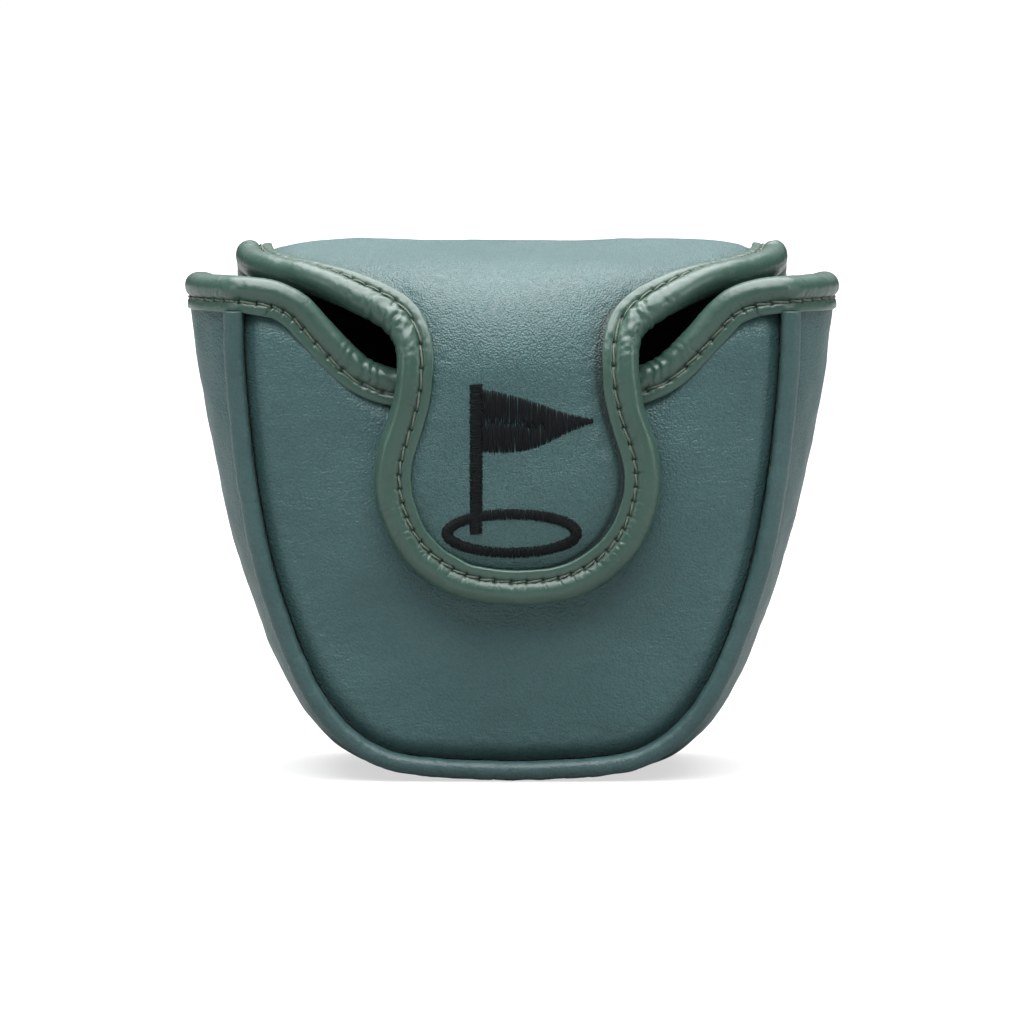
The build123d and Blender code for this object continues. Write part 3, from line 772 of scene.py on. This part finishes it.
to_edge = distance_to(panel_line[::2], fx, fz)
below_rim = front_top(fx) - RIM_BAND - fz
crown = 0.15 + 1.05 * smooth(2, 26, to_edge) * (0.35 + 0.65 * smooth(-2, 22, below_rim))
valley = 2.3 * bulge(to_edge, 2.4)
rim_press = 0.9 * bulge(below_rim - 0.2, 2.2) + 1.0 * smooth(0.5, -1.5, below_rim)
quilt = 0.14 * waves(21, 30)(fx, fz) + 0.035 * waves(22, 9, stretch=1.8)(fx, fz)
quilt = quilt + 0.012 * waves(23, 3.6, stretch=2.6)(fx, fz)
drag = 0.07 * bulge(to_edge - 4.0, 3.0) * waves(24, 3.0)(fx, fz)
front_y = -(PANEL_FACE + crown + (quilt + drag) * smooth(1.0, 6.0, to_edge) - valley - rim_press)
front_y = np.maximum(front_y, -PANEL_FACE - 1.45)
leather_back = np.maximum(front_y + 0.4, -FOAM_FRONT)
front_flat = np.stack([fx, fz, fx * 0], -1)
# Painted shade along the panel's seam by the piping, under the rim's binding, and faintly near the edge
front_shade = np.maximum(0.85 * bulge(to_edge, 1.1), 0.6 * smooth(1.0, -0.3, below_rim))
front_shade = np.maximum(front_shade, 0.16 * smooth(5.0, 1.0, to_edge))


def at_depth(y):
    return np.stack([fx, np.broadcast_to(y, fx.shape), fz], -1)


front_faces = [at_depth(y) for y in (front_y, leather_back, -FOAM_BACK)]
front_faces.append(at_depth(-LINING_BACK + 0.06 * waves(25, 3)(fx, fz)))
for level, (name, *rest) in enumerate((
    ("front_leather", teal, "front_panel", "teal_leather", PAD_FILL),
    ("front_foam_pad", padding, "front_foam", "foam", PAD_FILL),
    ("front_lining_cloth", plush, "front_lining", "lining"),
)):
    pouch_layer(name, front_faces[level], front_faces[level + 1], *rest, flat=front_flat, painted_shade=front_shade)


# ---- Gusset ----

GUSSET_ROWS = 460
GUSSET_COLUMNS = 73
GUSSET_TOP = 110.5  # the gusset's top before it is cut to the rim
TAPER_FROM = 30.0  # below this height the gusset isn't stretched to meet the rim
GUSSET_COVER = 3.8  # its top edge lies this far below the rim's top
FLOOR_GAP = 0.9  # the crown is flattened below this height, so that it stays above the floor

seam_path = resample(cut_at(edge_shift(panel_line, 2.0), GUSSET_TOP), GUSSET_ROWS)
crown_path = resample(cut_at(mirrored(gusset_half), GUSSET_TOP), GUSSET_ROWS)
width = np.linspace(-1, 1, GUSSET_COLUMNS)[None, :]
gx = seam_path[:, :1] + (crown_path[:, :1] - seam_path[:, :1]) * (1 - width**2)
gz = seam_path[:, 1:] + (crown_path[:, 1:] - seam_path[:, 1:]) * (1 - width**2)
gy = GUSSET_REACH * np.repeat(width, GUSSET_ROWS, 0)
share = np.clip((gz - TAPER_FROM) / (GUSSET_TOP - TAPER_FROM), 0, 1) ** 1.4
gz = gz + (side_top(gy) - GUSSET_COVER - GUSSET_TOP) * share
gusset_run = np.repeat(lengths(crown_path)[:, None], GUSSET_COLUMNS, 1)
gusset_points = np.stack([gx, gy, gz], -1)
gusset_normal = grid_normals(gusset_points)
if gusset_normal[GUSSET_ROWS // 2, GUSSET_COLUMNS // 2, 2] > 0:
    gusset_normal = -gusset_normal

to_seam = GUSSET_REACH - np.abs(gy)
under_rim = smooth(7.5, 4.5, side_top(gy) - gz)
push = 0.1 * waves(31, 34)(gusset_run, gy) + 0.08 * waves(32, 9, stretch=1.5)(gusset_run, gy)
push = push + 0.012 * waves(33, 3.6)(gusset_run, gy)
push = push * smooth(0.5, 6, to_seam) * (1 - under_rim)
pucker = 0.05 * bulge(to_seam, 4) * np.sin(gusset_run * 2 * math.pi / 3.1)
push = push - 1.2 * bulge(to_seam, 1.6) + pucker - 0.35 * under_rim
gusset_outer = gusset_points + gusset_normal * push[..., None]
gusset_outer[..., 1] += np.sign(gy) * 1.3 * smooth(20.5, GUSSET_REACH, np.abs(gy))
height = gusset_outer[..., 2]
pressed = FLOOR_GAP - FLOOR_GAP * np.tanh((FLOOR_GAP - height) / FLOOR_GAP)
gusset_outer[..., 2] = np.where(height < FLOOR_GAP, pressed, height)
gusset_flat = np.stack([gusset_run, gy, gy * 0], -1)
# Painted shade beside the gusset's seams by the piping
gusset_shade = np.maximum(0.85 * bulge(to_seam, 1.0), 0.5 * bulge(to_seam, 3.0))


def gusset_inset(depth):
    """The gusset's surface moved inwards, and a little up where it rests on the floor."""
    return gusset_points - gusset_normal * depth + np.array([0, 0, 0.8]) * bulge(gz[..., None], 6)


gusset_faces = [gusset_outer, gusset_inset(1.5), gusset_inset(3.5), gusset_inset(4.5)]
for level, (name, *rest) in enumerate((
    ("gusset_leather", teal, "gusset", "teal_leather", PAD_FILL),
    ("gusset_foam_pad", padding, "gusset_foam", "foam", PAD_FILL),
    ("gusset_lining_cloth", plush, "gusset_lining", "lining"),
)):
    pouch_layer(
        name, gusset_faces[level], gusset_faces[level + 1], *rest, flat=gusset_flat, painted_shade=gusset_shade
    )


# ---- Piping and its seam stitches ----

PIPING_AROUND = 22
CORE_RADIUS = 1.35
SEAM_REACH = 21.0  # the seam stitches' distance in front of or behind the centre
SEAM_TOP = 103.5
SEAM_PITCH, SEAM_STITCH = 3.0, 2.35
SEAM_POINTS = 7


def piping_roll(end, y, top, seed):
    """Leather rolled round a cord, with small seeded creases across it, and the cord inside."""
    path = by_step(cut_at(edge_shift(panel_line, 2.3), top), 0.45)
    path = np.stack([path[:, 0], np.full(len(path), y), path[:, 1]], 1)
    run = lengths(path)
    turn = (np.arange(PIPING_AROUND) * 2 * math.pi / PIPING_AROUND)[None, :]
    rng = np.random.default_rng(seed)
    radius = np.full((len(path), PIPING_AROUND), PIPING_RADIUS)
    radius += 0.05 * waves(43, 9)(run[:, None], turn * 2)
    for centre in np.arange(2, run[-1] - 2, 2.6):
        spot = centre + rng.uniform(-0.9, 0.9)
        depth = rng.uniform(0.03, 0.15)
        lean = rng.uniform(-0.9, 0.9)
        wide = rng.uniform(0.22, 0.5)
        side = rng.uniform(0, 2 * math.pi)
        gap = run[:, None] - spot - lean * np.sin(turn - side)
        radius -= depth * bulge(gap, wide) * (0.55 + 0.45 * np.cos(turn - side))
    points, faces = tube(path, radius, PIPING_AROUND)
    flat = np.stack(np.broadcast_arrays(run[:, None], turn * PIPING_RADIUS, 0.0), -1)
    # painted shade on the side that faces the panel's seam
    on_ring = points[: radius.size, 1].reshape(radius.shape)
    shade = 0.75 * smooth(-0.7, -1.9, np.abs(on_ring) - PIPING_REACH)
    pipe = make_mesh(
        end + "_piping_roll", points, faces, piping_teal,
        flat=np.concatenate([flat.reshape(-1, 3), path[:1], path[-1:]]),
        painted_shade=np.concatenate([shade.ravel(), [0, 0]]),
    )
    finish_piece(pipe, [end + "_piping"])
    core = make_mesh(end + "_piping_core", *tube(path[3:-3], CORE_RADIUS, 10), cord_white)
    finish_piece(core, [end + "_piping_cord"])


def seam_stitches(end, side):
    """The row of stitches through the gusset, beside the piping."""
    track = by_step(cut_at(edge_shift(panel_line, 2.15), SEAM_TOP), 0.1)
    run = lengths(track)
    outward = right_of(track)
    # the gusset's crown at the stitches, less the depth at which the thread's ends lie
    crown_at = (1 - (SEAM_REACH / GUSSET_REACH) ** 2) * 4
    out = 0.63 + 0.28 * np.sin(np.linspace(0, math.pi, SEAM_POINTS)) + crown_at
    paths = []
    for start in np.arange(1, run[-1] - 3, SEAM_PITCH):
        at = np.linspace(start, start + SEAM_STITCH, SEAM_POINTS)
        x, z, out_x, out_z = (np.interp(at, run, values) for values in (*track.T, *outward.T))
        y = np.full(SEAM_POINTS, side * SEAM_REACH)
        paths.append(np.stack([x + out_x * out, y, z + out_z * out], 1))
    seam = joined_tubes(end + "_seam_stitches", paths, [0.2] * len(paths), seam_yarn)
    finish_piece(seam, [end + "_seam_thread"])


for end, side, top, seed in (("front", -1, 106.5, 41), ("back", 1, 108.3, 42)):
    piping_roll(end, side * PIPING_REACH, top, seed)
    seam_stitches(end, side)


# ---- Bindings ----

RING_HALF_COUNT = 33
BINDING_STEP = 0.26
FIRST_HOLE = 2.0
HOLE_REACH = 7.0  # a stitch hole's creases reach this far along the strip
INNER_LIP = 8.3  # the strip's inner edge, in from its outer one
FILLER_POINTS = 14
THREAD_POINTS = 15

ring_front = resample(spline(RING), RING_HALF_COUNT)
band = ring_front[:, 0] > STITCH_IN
ring_front[:, 0] = np.where(band, STITCH_IN + (ring_front[:, 0] - STITCH_IN) * 0.84, ring_front[:, 0])
ring = np.concatenate([ring_front, [[0.0, 0.0]], ring_front[::-1] * np.array([1, -1])])
RING_COUNT = len(ring)


def stitch_pulls(run, s, holes, rng):
    """Dents at the holes, painted shade in the holes and along the stitch row, and creases that fan out
    from each hole.
    """
    dent, painted_shade = np.zeros_like(s), np.zeros_like(s)
    for hole in holes:
        near = np.abs(run - hole) < HOLE_REACH
        along, q = np.repeat(run[near][:, None], RING_COUNT, 1), s[near]
        gap = np.sqrt((along - hole) ** 2 + (q - STITCH_IN) ** 2)
        dent[near] -= 0.36 * bulge(gap, 0.55)
        # painted shade in each hole and along the stitch row's valley
        painted_shade[near] = np.maximum(painted_shade[near], 0.97 * np.exp(-((gap / 0.5) ** 4)))
        painted_shade[near] = np.maximum(painted_shade[near], 0.3 * bulge(q - STITCH_IN, 0.42))
        for side, reach, count in ((-1, 4.2, 3), (1, 2.6, 2)):
            for _ in range(count):
                lean = rng.uniform(-0.95, 0.95)
                size = reach * rng.uniform(0.5, 1.0)
                deep = rng.uniform(0.03, 0.10)
                wide = rng.uniform(0.17, 0.28)
                away = (q - STITCH_IN) * side
                line_at = hole + lean * away + rng.uniform(-0.2, 0.2)
                crease = 0.55 * bulge(along - line_at - 0.55, wide) - bulge(along - line_at, wide)
                fade = smooth(-0.1, 0.5, away) * smooth(size, size * 0.35, away)
                dent[near] += crease * deep * fade
    return dent, painted_shade


def bunched_folds(run, s, bunches):
    """Gathered folds where the strip turns a tight corner."""
    total = np.zeros_like(s)
    for centre, spread, amount, size in bunches:
        phase = (run - centre) / size + 0.35 * np.sin(s * 0.9 + centre) + 0.22 * np.sin(run * 0.9)
        fold = np.sin(2 * math.pi * phase)
        fold = amount * bulge(run - centre, spread) * np.sign(fold) * np.abs(fold) ** 0.8
        total += fold * smooth(7.8, 3.5, s) + 0.25 * fold * smooth(3.5, 7.8, s)
    return total


def tucked_lines(run, s, tucks):
    """Single sharp folds across the stitched band."""
    total = np.zeros_like(s)
    for centre, lean, deep in tucks:
        away = run - centre - lean * (s - 7)
        total += deep * (0.5 * bulge(away - 1.1, 0.6) - bulge(away, 0.45)) * smooth(5.2, 6.2, s)
    return total


def end_caps(rows):
    """Triangles that close the swept ring's two ends."""
    caps = []
    for row in (0, rows - 1):
        loop = row * RING_COUNT + np.arange(RING_COUNT)
        for k in range(RING_COUNT // 2):
            a, b, c, d = loop[k], loop[k + 1], loop[RING_COUNT - 2 - k], loop[RING_COUNT - 1 - k]
            if b == c:
                caps.append([a, b, d])
            else:
                caps += [[a, b, c], [a, c, d]]
    return np.array(caps)


def binding(name, line, place, seed, bunches, tucks=()):
    """A folded strip swept along a line in a developed surface, pulled in at each stitch.

    Returns the strip and two functions, which make its stitches and its filler."""
    path = by_step(line, BINDING_STEP)
    run = lengths(path)
    inward = right_of(path)
    s = np.repeat(ring[None, :, 0], len(path), 0)
    w = np.repeat(ring[None, :, 1], len(path), 0)
    face = np.sign(w)
    along = np.repeat(run[:, None], RING_COUNT, 1)
    rng = np.random.default_rng(seed)
    holes = np.arange(FIRST_HOLE, run[-1] - 1.5, STITCH_PITCH)
    dent, painted_shade = stitch_pulls(run, s, holes, rng)
    # between stitches the leather swells a little
    swell = -0.024 * np.cos((along - FIRST_HOLE) * 2 * math.pi / STITCH_PITCH)
    dent += swell * (bulge(s - 3.4, 2.0) + 0.6 * bulge(s - 7.2, 1.1))
    dent += 0.04 * waves(seed + 1, 11)(along, s * 2 + face * 5)
    dent += 0.010 * waves(seed + 2, 2.2)(along, s * 1.4 + face * 5)
    dent += bunched_folds(along, s, bunches) + tucked_lines(along, s, tucks)
    rise = np.clip(np.abs(w) / 2.4, 0, 1)
    w = w + face * dent * rise * (0.25 + 0.75 * smooth(INNER_LIP, 7.8, s))
    # the outer roll and the inner lip move sideways too, so that neither is a clean line
    ripple = 0.045 * waves(seed + 3, 12)(along, 0) + 0.012 * waves(seed + 4, 2.4)(along, 0)
    for centre, spread, amount, size in bunches:
        away = along - centre
        ripple = ripple + 0.35 * amount * bulge(away, spread) * np.sin(2 * math.pi * away / size)
    s = s - (ripple + dent * 0.35) * smooth(2.6, 0, s)
    s = s + 0.04 * waves(seed + 5, 7)(along, 0) * smooth(7.2, 8.2, s)
    points = place(path[:, :1] + inward[:, :1] * s, path[:, 1:] + inward[:, 1:] * s, w)
    # painted highlight along the binding's inner lip and, faintly, on raised creases; weaker on the
    # hidden face
    painted_highlight = 0.7 * bulge(s - 8.25, 0.2) + 0.08 * np.clip(dent, 0, 0.3)
    painted_highlight = np.where(face > 0, painted_highlight, painted_highlight * 0.4)
    index = np.arange(len(path) * RING_COUNT).reshape(len(path), RING_COUNT)
    # the ring's open edges lie inside the leather; a thin web joins them
    web = np.stack([index[:-1, -1], index[:-1, 0], index[1:, 0], index[1:, -1]], 1)
    sides = triangles(np.concatenate([grid_faces(len(path), RING_COUNT), web]))
    flat = np.stack([along, s + (face < 0) * 20, w * 0], -1).reshape(-1, 3)
    obj = make_mesh(
        name, points, np.concatenate([sides, end_caps(len(path))]), sage,
        flat=flat, painted_shade=np.where(face > 0, painted_shade, 0), painted_highlight=np.clip(painted_highlight, 0, 1),
    )

    def stitches(label):
        paths, radii = [], []
        rise_at = np.sin(np.linspace(0, math.pi, THREAD_POINTS)) ** 0.4
        for hole in holes[:-1]:
            at = np.linspace(hole + 0.16, hole + STITCH_PITCH - 0.16, THREAD_POINTS)
            x, y, in_x, in_y = (np.interp(at, run, values) for values in (*path.T, *inward.T))
            drift = STITCH_IN + np.linspace(-0.2, 0.2, THREAD_POINTS) + rng.uniform(-0.05, 0.05)
            height = STITCH_VALLEY - 0.42 + 0.68 * rise_at
            paths.append(place(x + in_x * drift, y + in_y * drift, height))
            radii.append(0.26 * (0.72 + 0.28 * rise_at))
        return joined_tubes(label, paths, radii, olive, 8)

    def filler(label):
        core = by_step(line, 1.5)[1:-1]
        side = right_of(core)
        turn = np.arange(FILLER_POINTS) * 2 * math.pi / FILLER_POINTS
        inset = (2.55 + 2.1 * np.cos(turn))[None, :]
        height = np.repeat((2.1 * np.sin(turn))[None, :], len(core), 0)
        points = place(core[:, :1] + side[:, :1] * inset, core[:, 1:] + side[:, 1:] * inset, height)
        return make_mesh(label, points, grid_faces(len(core), FILLER_POINTS, wrap=True), padding)

    return obj, stitches, filler


# Flap and tongue: one strip from the left rear corner round the tongue to the right one
flap_line = outer_line.copy()
flap_line[:, 0] += 1.3 * smooth(45, 70, flap_line[:, 1])
flap_run = lengths(flap_line)


def flap_where(t, side):
    """Place along the flap's binding, on one side, at t along the strip."""
    half = np.where(flap_line[:, 0] * side > 0)[0]
    return flap_run[half[np.argmin(np.abs(flap_line[half, 1] - t))]]


# Place along the strip, spread, height and wavelength of each bunch of folds
FLAP_BUNCHES = (
    (61.0, 5.5, 0.24, 3.1), (63.5, 5.0, 0.09, 1.7), (13.0, 8.0, 0.14, 2.7), (108.0, 10.0, 0.07, 2.2),
)
flap_bunches = [(flap_where(t, side), *rest) for side in (-1, 1) for t, *rest in FLAP_BUNCHES]
flap_edge, flap_stitches, flap_filler = binding(
    "flap_and_tongue_binding", flap_line, strip, 51, flap_bunches
)
for obj, nodes, slot in (
    (flap_edge, ["flap_binding_left", "flap_binding_right", "tongue_binding"], "binding_leather"),
    (flap_stitches("flap_and_tongue_stitches"), ["flap_stitching", "tongue_stitching"], "thread"),
    (
        flap_filler("flap_and_tongue_filler"),
        ["flap_binding_filler_left", "flap_binding_filler_right", "tongue_binding_filler"],
        "cord",
    ),
):
    finish_piece(obj, nodes, FRONT_BEND)

# Rim: from the left rear corner round the front to the right one
rim_runs = np.linspace(-PLAN_END + 0.3, PLAN_END - 0.3, 2400)
kernel = np.hanning(61)
rim_heights = np.pad(rim_top(rim_runs), len(kernel) // 2, mode="edge")
rim_heights = np.convolve(rim_heights, kernel / kernel.sum(), mode="valid")
rim_line = np.stack([rim_runs, rim_heights], 1)
rim_lengths = lengths(rim_line)


def rim_where(run):
    """Place along the rim's binding at a run along the plan."""
    return np.interp(run, rim_runs, rim_lengths)


RIM_BUNCHES = ((32, 6.0, 0.16, 2.2), (62, 5.0, 0.05, 2.6))
rim_bunches = [(rim_where(side * at), *rest) for side in (-1, 1) for at, *rest in RIM_BUNCHES]
rim_tucks = [(rim_where(side * 53), 0.35 * side, 0.45) for side in (-1, 1)]
rim_edge, rim_stitches, rim_filler = binding(
    "rim_binding_roll", rim_line, rim_wall, 61, rim_bunches, rim_tucks
)
finish_piece(rim_edge, ["rim_binding"])
finish_piece(rim_stitches("rim_stitches"), ["rim_stitching"])
finish_piece(rim_filler("rim_filler"), ["rim_binding_filler"])


# ---- Embroidered flag: a pole, a pennant and the hole ----

THREAD_GAP = 0.25
POLE_X, POLE_FOOT, POLE_TOP, POLE_HALF = -8.0, 57.2, 90.5, 1.4
HOLE_WIDE, HOLE_HIGH, HOLE_HALF = 14.5, 4.4, 1.15
PENNANT_TOP = [(-6.6, 89.4), (-1, 88.4), (6, 86.2), (13, 83.8), (18.4, 82.6)]
PENNANT_LOW = [(-6.6, 75.6), (-1, 75.4), (6, 76.8), (12, 79.6), (18.4, 82.4)]
LONGEST_STITCH = 5.5

rng = np.random.default_rng(71)
emblem_paths, emblem_radii = [], []


def satin(start, end, height, radius=0.17):
    """One satin thread from edge to edge, raised in the middle; places are (x, height) pairs."""
    a, b = np.array(start, float), np.array(end, float)
    a += rng.normal(0, 0.09, 2)
    b += rng.normal(0, 0.09, 2)
    u = np.linspace(0, 1, 9)
    at = a[None, :] + (b - a)[None, :] * u[:, None]
    raised = height * np.clip(np.sin(u * math.pi), 0, 1) ** 0.45 + rng.normal(0, 0.025)
    x, t = at[:, 0], TONGUE_START + FRONT_FOLD_Z - at[:, 1]
    surface = flap_height(distance_to(outer_line[::4], x, t)) + soft_waves(x, t)
    emblem_paths.append(strip(x, t, surface - 0.12 + raised))
    emblem_radii.append(radius * (0.75 + 0.25 * np.sin(u * math.pi)))


for z in np.arange(POLE_FOOT, POLE_TOP, THREAD_GAP):
    satin((POLE_X - POLE_HALF, z - 0.15), (POLE_X + POLE_HALF, z + 0.15), 0.55)
pennant_top = spline(PENNANT_TOP, 200)
pennant_low = spline(PENNANT_LOW, 200)
for x in np.arange(-6.5, 18.2, THREAD_GAP):
    top = np.interp(x, pennant_top[:, 0], pennant_top[:, 1])
    low = np.interp(x, pennant_low[:, 0], pennant_low[:, 1])
    parts = max(1, int(round((top - low) / LONGEST_STITCH)))
    stagger = rng.uniform(-0.9, 0.9, parts + 1)
    stagger[0] = stagger[-1] = 0
    cuts = np.linspace(low, top, parts + 1) + stagger
    for first, second in zip(cuts[:-1], cuts[1:]):
        satin((x, first - 0.15), (x + 0.05, second + 0.15), 0.42)
for angle in np.arange(0, 2 * math.pi, 0.0155):
    middle = np.array([HOLE_WIDE * math.cos(angle), POLE_FOOT + HOLE_HIGH * math.sin(angle)])
    out = np.array([math.cos(angle) / HOLE_WIDE, math.sin(angle) / HOLE_HIGH])
    out /= np.linalg.norm(out)
    satin(middle - out * HOLE_HALF, middle + out * HOLE_HALF, 0.5)
emblem = joined_tubes("emblem_satin_flag", emblem_paths, emblem_radii, satin_yarn, 5)
finish_piece(emblem, ["emblem_embroidery"], "tongue")


# ---- Nodes that keep their CAD shape ----

for node, material in (
    ("front_magnet", nickel),
    ("tongue_magnet", nickel),
    ("front_magnet_patch", patch_cloth),
    ("tongue_magnet_patch", patch_cloth),
):
    kept = frame["nodes"][node].data.materials
    kept.clear()
    kept.append(material)


# ---- Floor, light and camera ----

FLOOR_HALF = 6000.0
FLOOR_DROP = 0.02
FLOOR_GLOW = 0.62  # what the camera sees on top of the light that falls on the floor
BACKDROP = 1.05
CAP_LIGHT = 5.8
REAR_LIGHT = 0.5
DOME_BASE = 0.05
AIM = Vector((0, 0, 0.059))
CAMERA_DISTANCE = 1.2
CAMERA_TILT = math.radians(5)
SENSOR_WIDTH = 36
LENS = 183.094  # mm


def floor_material():
    n = MaterialNodes("pale_floor")
    place = n.add("ShaderNodeTexCoord").outputs["Object"]
    tone = n.ramp(n.noise(place, 1.5, 2), [(0.3, grey(0.30)), (0.7, grey(0.32))])
    n.link(tone, n.shader.inputs["Base Color"])
    n.shader.inputs["Roughness"].default_value = 0.9
    n.shader.inputs["Specular IOR Level"].default_value = 0.1
    n.shader.inputs["Emission Color"].default_value = (1, 1, 1, 1)
    seen = n.add("ShaderNodeLightPath").outputs["Is Camera Ray"]
    n.link(n.math("MULTIPLY", seen, FLOOR_GLOW), n.shader.inputs["Emission Strength"])
    return n.material


signs = ((-1, -1), (1, -1), (1, 1), (-1, 1))
corners = [(x * FLOOR_HALF, y * FLOOR_HALF, -FLOOR_DROP) for x, y in signs]
make_mesh("floor", corners, [[0, 1, 2, 3]], floor_material())

# A wide softbox above, a dim one behind and dim sides; plain white to the camera itself
world = bpy.data.worlds.new("studio")
bpy.context.scene.world = world
sky = Nodes(world, "Background")
heading = sky.add("ShaderNodeTexCoord").outputs["Generated"]
heading = sky.add("ShaderNodeSeparateXYZ", {0: heading}).outputs
above = sky.step(heading["Z"], 0.58, 0.78, 0.0, CAP_LIGHT)
backwards = sky.step(heading["Y"], 0.35, 0.6, 0.0, 1.0)
rear = sky.math("MULTIPLY", backwards, sky.step(heading["Z"], 0.12, 0.3, 0.0, REAR_LIGHT))
beside = sky.step(sky.math("ABSOLUTE", heading["X"]), 0.35, 0.6, 1.0, 0.25)
dome = sky.math("ADD", sky.math("MULTIPLY", sky.math("MAXIMUM", above, rear), beside), DOME_BASE)
seen = sky.add("ShaderNodeLightPath").outputs["Is Camera Ray"]
unseen = sky.math("SUBTRACT", 1.0, seen)
strength = sky.math("ADD", sky.math("MULTIPLY", dome, unseen), sky.math("MULTIPLY", seen, BACKDROP))
sky.link(strength, sky.shader.inputs["Strength"])
sky.shader.inputs["Color"].default_value = (1, 1, 1, 1)


def aim(obj, direction):
    obj.rotation_euler = Vector(direction).to_track_quat("-Z", "Y").to_euler()
    bpy.context.scene.collection.objects.link(obj)


def sun(name, direction, strength, angle):
    data = bpy.data.lights.new(name, "SUN")
    data.energy = strength
    data.angle = math.radians(angle)
    aim(bpy.data.objects.new(name, data), direction)


def area(name, place, size, power):
    data = bpy.data.lights.new(name, "AREA")
    data.shape = "RECTANGLE"
    data.size, data.size_y = size
    data.energy = power
    lamp = bpy.data.objects.new(name, data)
    lamp.location = place
    aim(lamp, Vector((0, 0, 0.06)) - Vector(place))


sun("overhead", (0.05, 0.25, -1.0), 0.5, 40)
area("strip_left", (-0.85, -0.30, 0.38), (0.08, 0.5), 0.9)
area("strip_right", (0.85, -0.30, 0.38), (0.08, 0.5), 1.3)
area("softbox_front", (-0.25, -1.0, 0.55), (0.30, 0.30), 0.3)

camera_data = bpy.data.cameras.new("camera")
camera_data.sensor_width = SENSOR_WIDTH
camera_data.lens = LENS
camera = bpy.data.objects.new("camera", camera_data)
camera.location = AIM + Vector((0, -math.cos(CAMERA_TILT), math.sin(CAMERA_TILT))) * CAMERA_DISTANCE
aim(camera, AIM - camera.location)
bpy.context.scene.camera = camera
bpy.context.scene.view_settings.view_transform = "Standard"



bpy.context.view_layer.update()
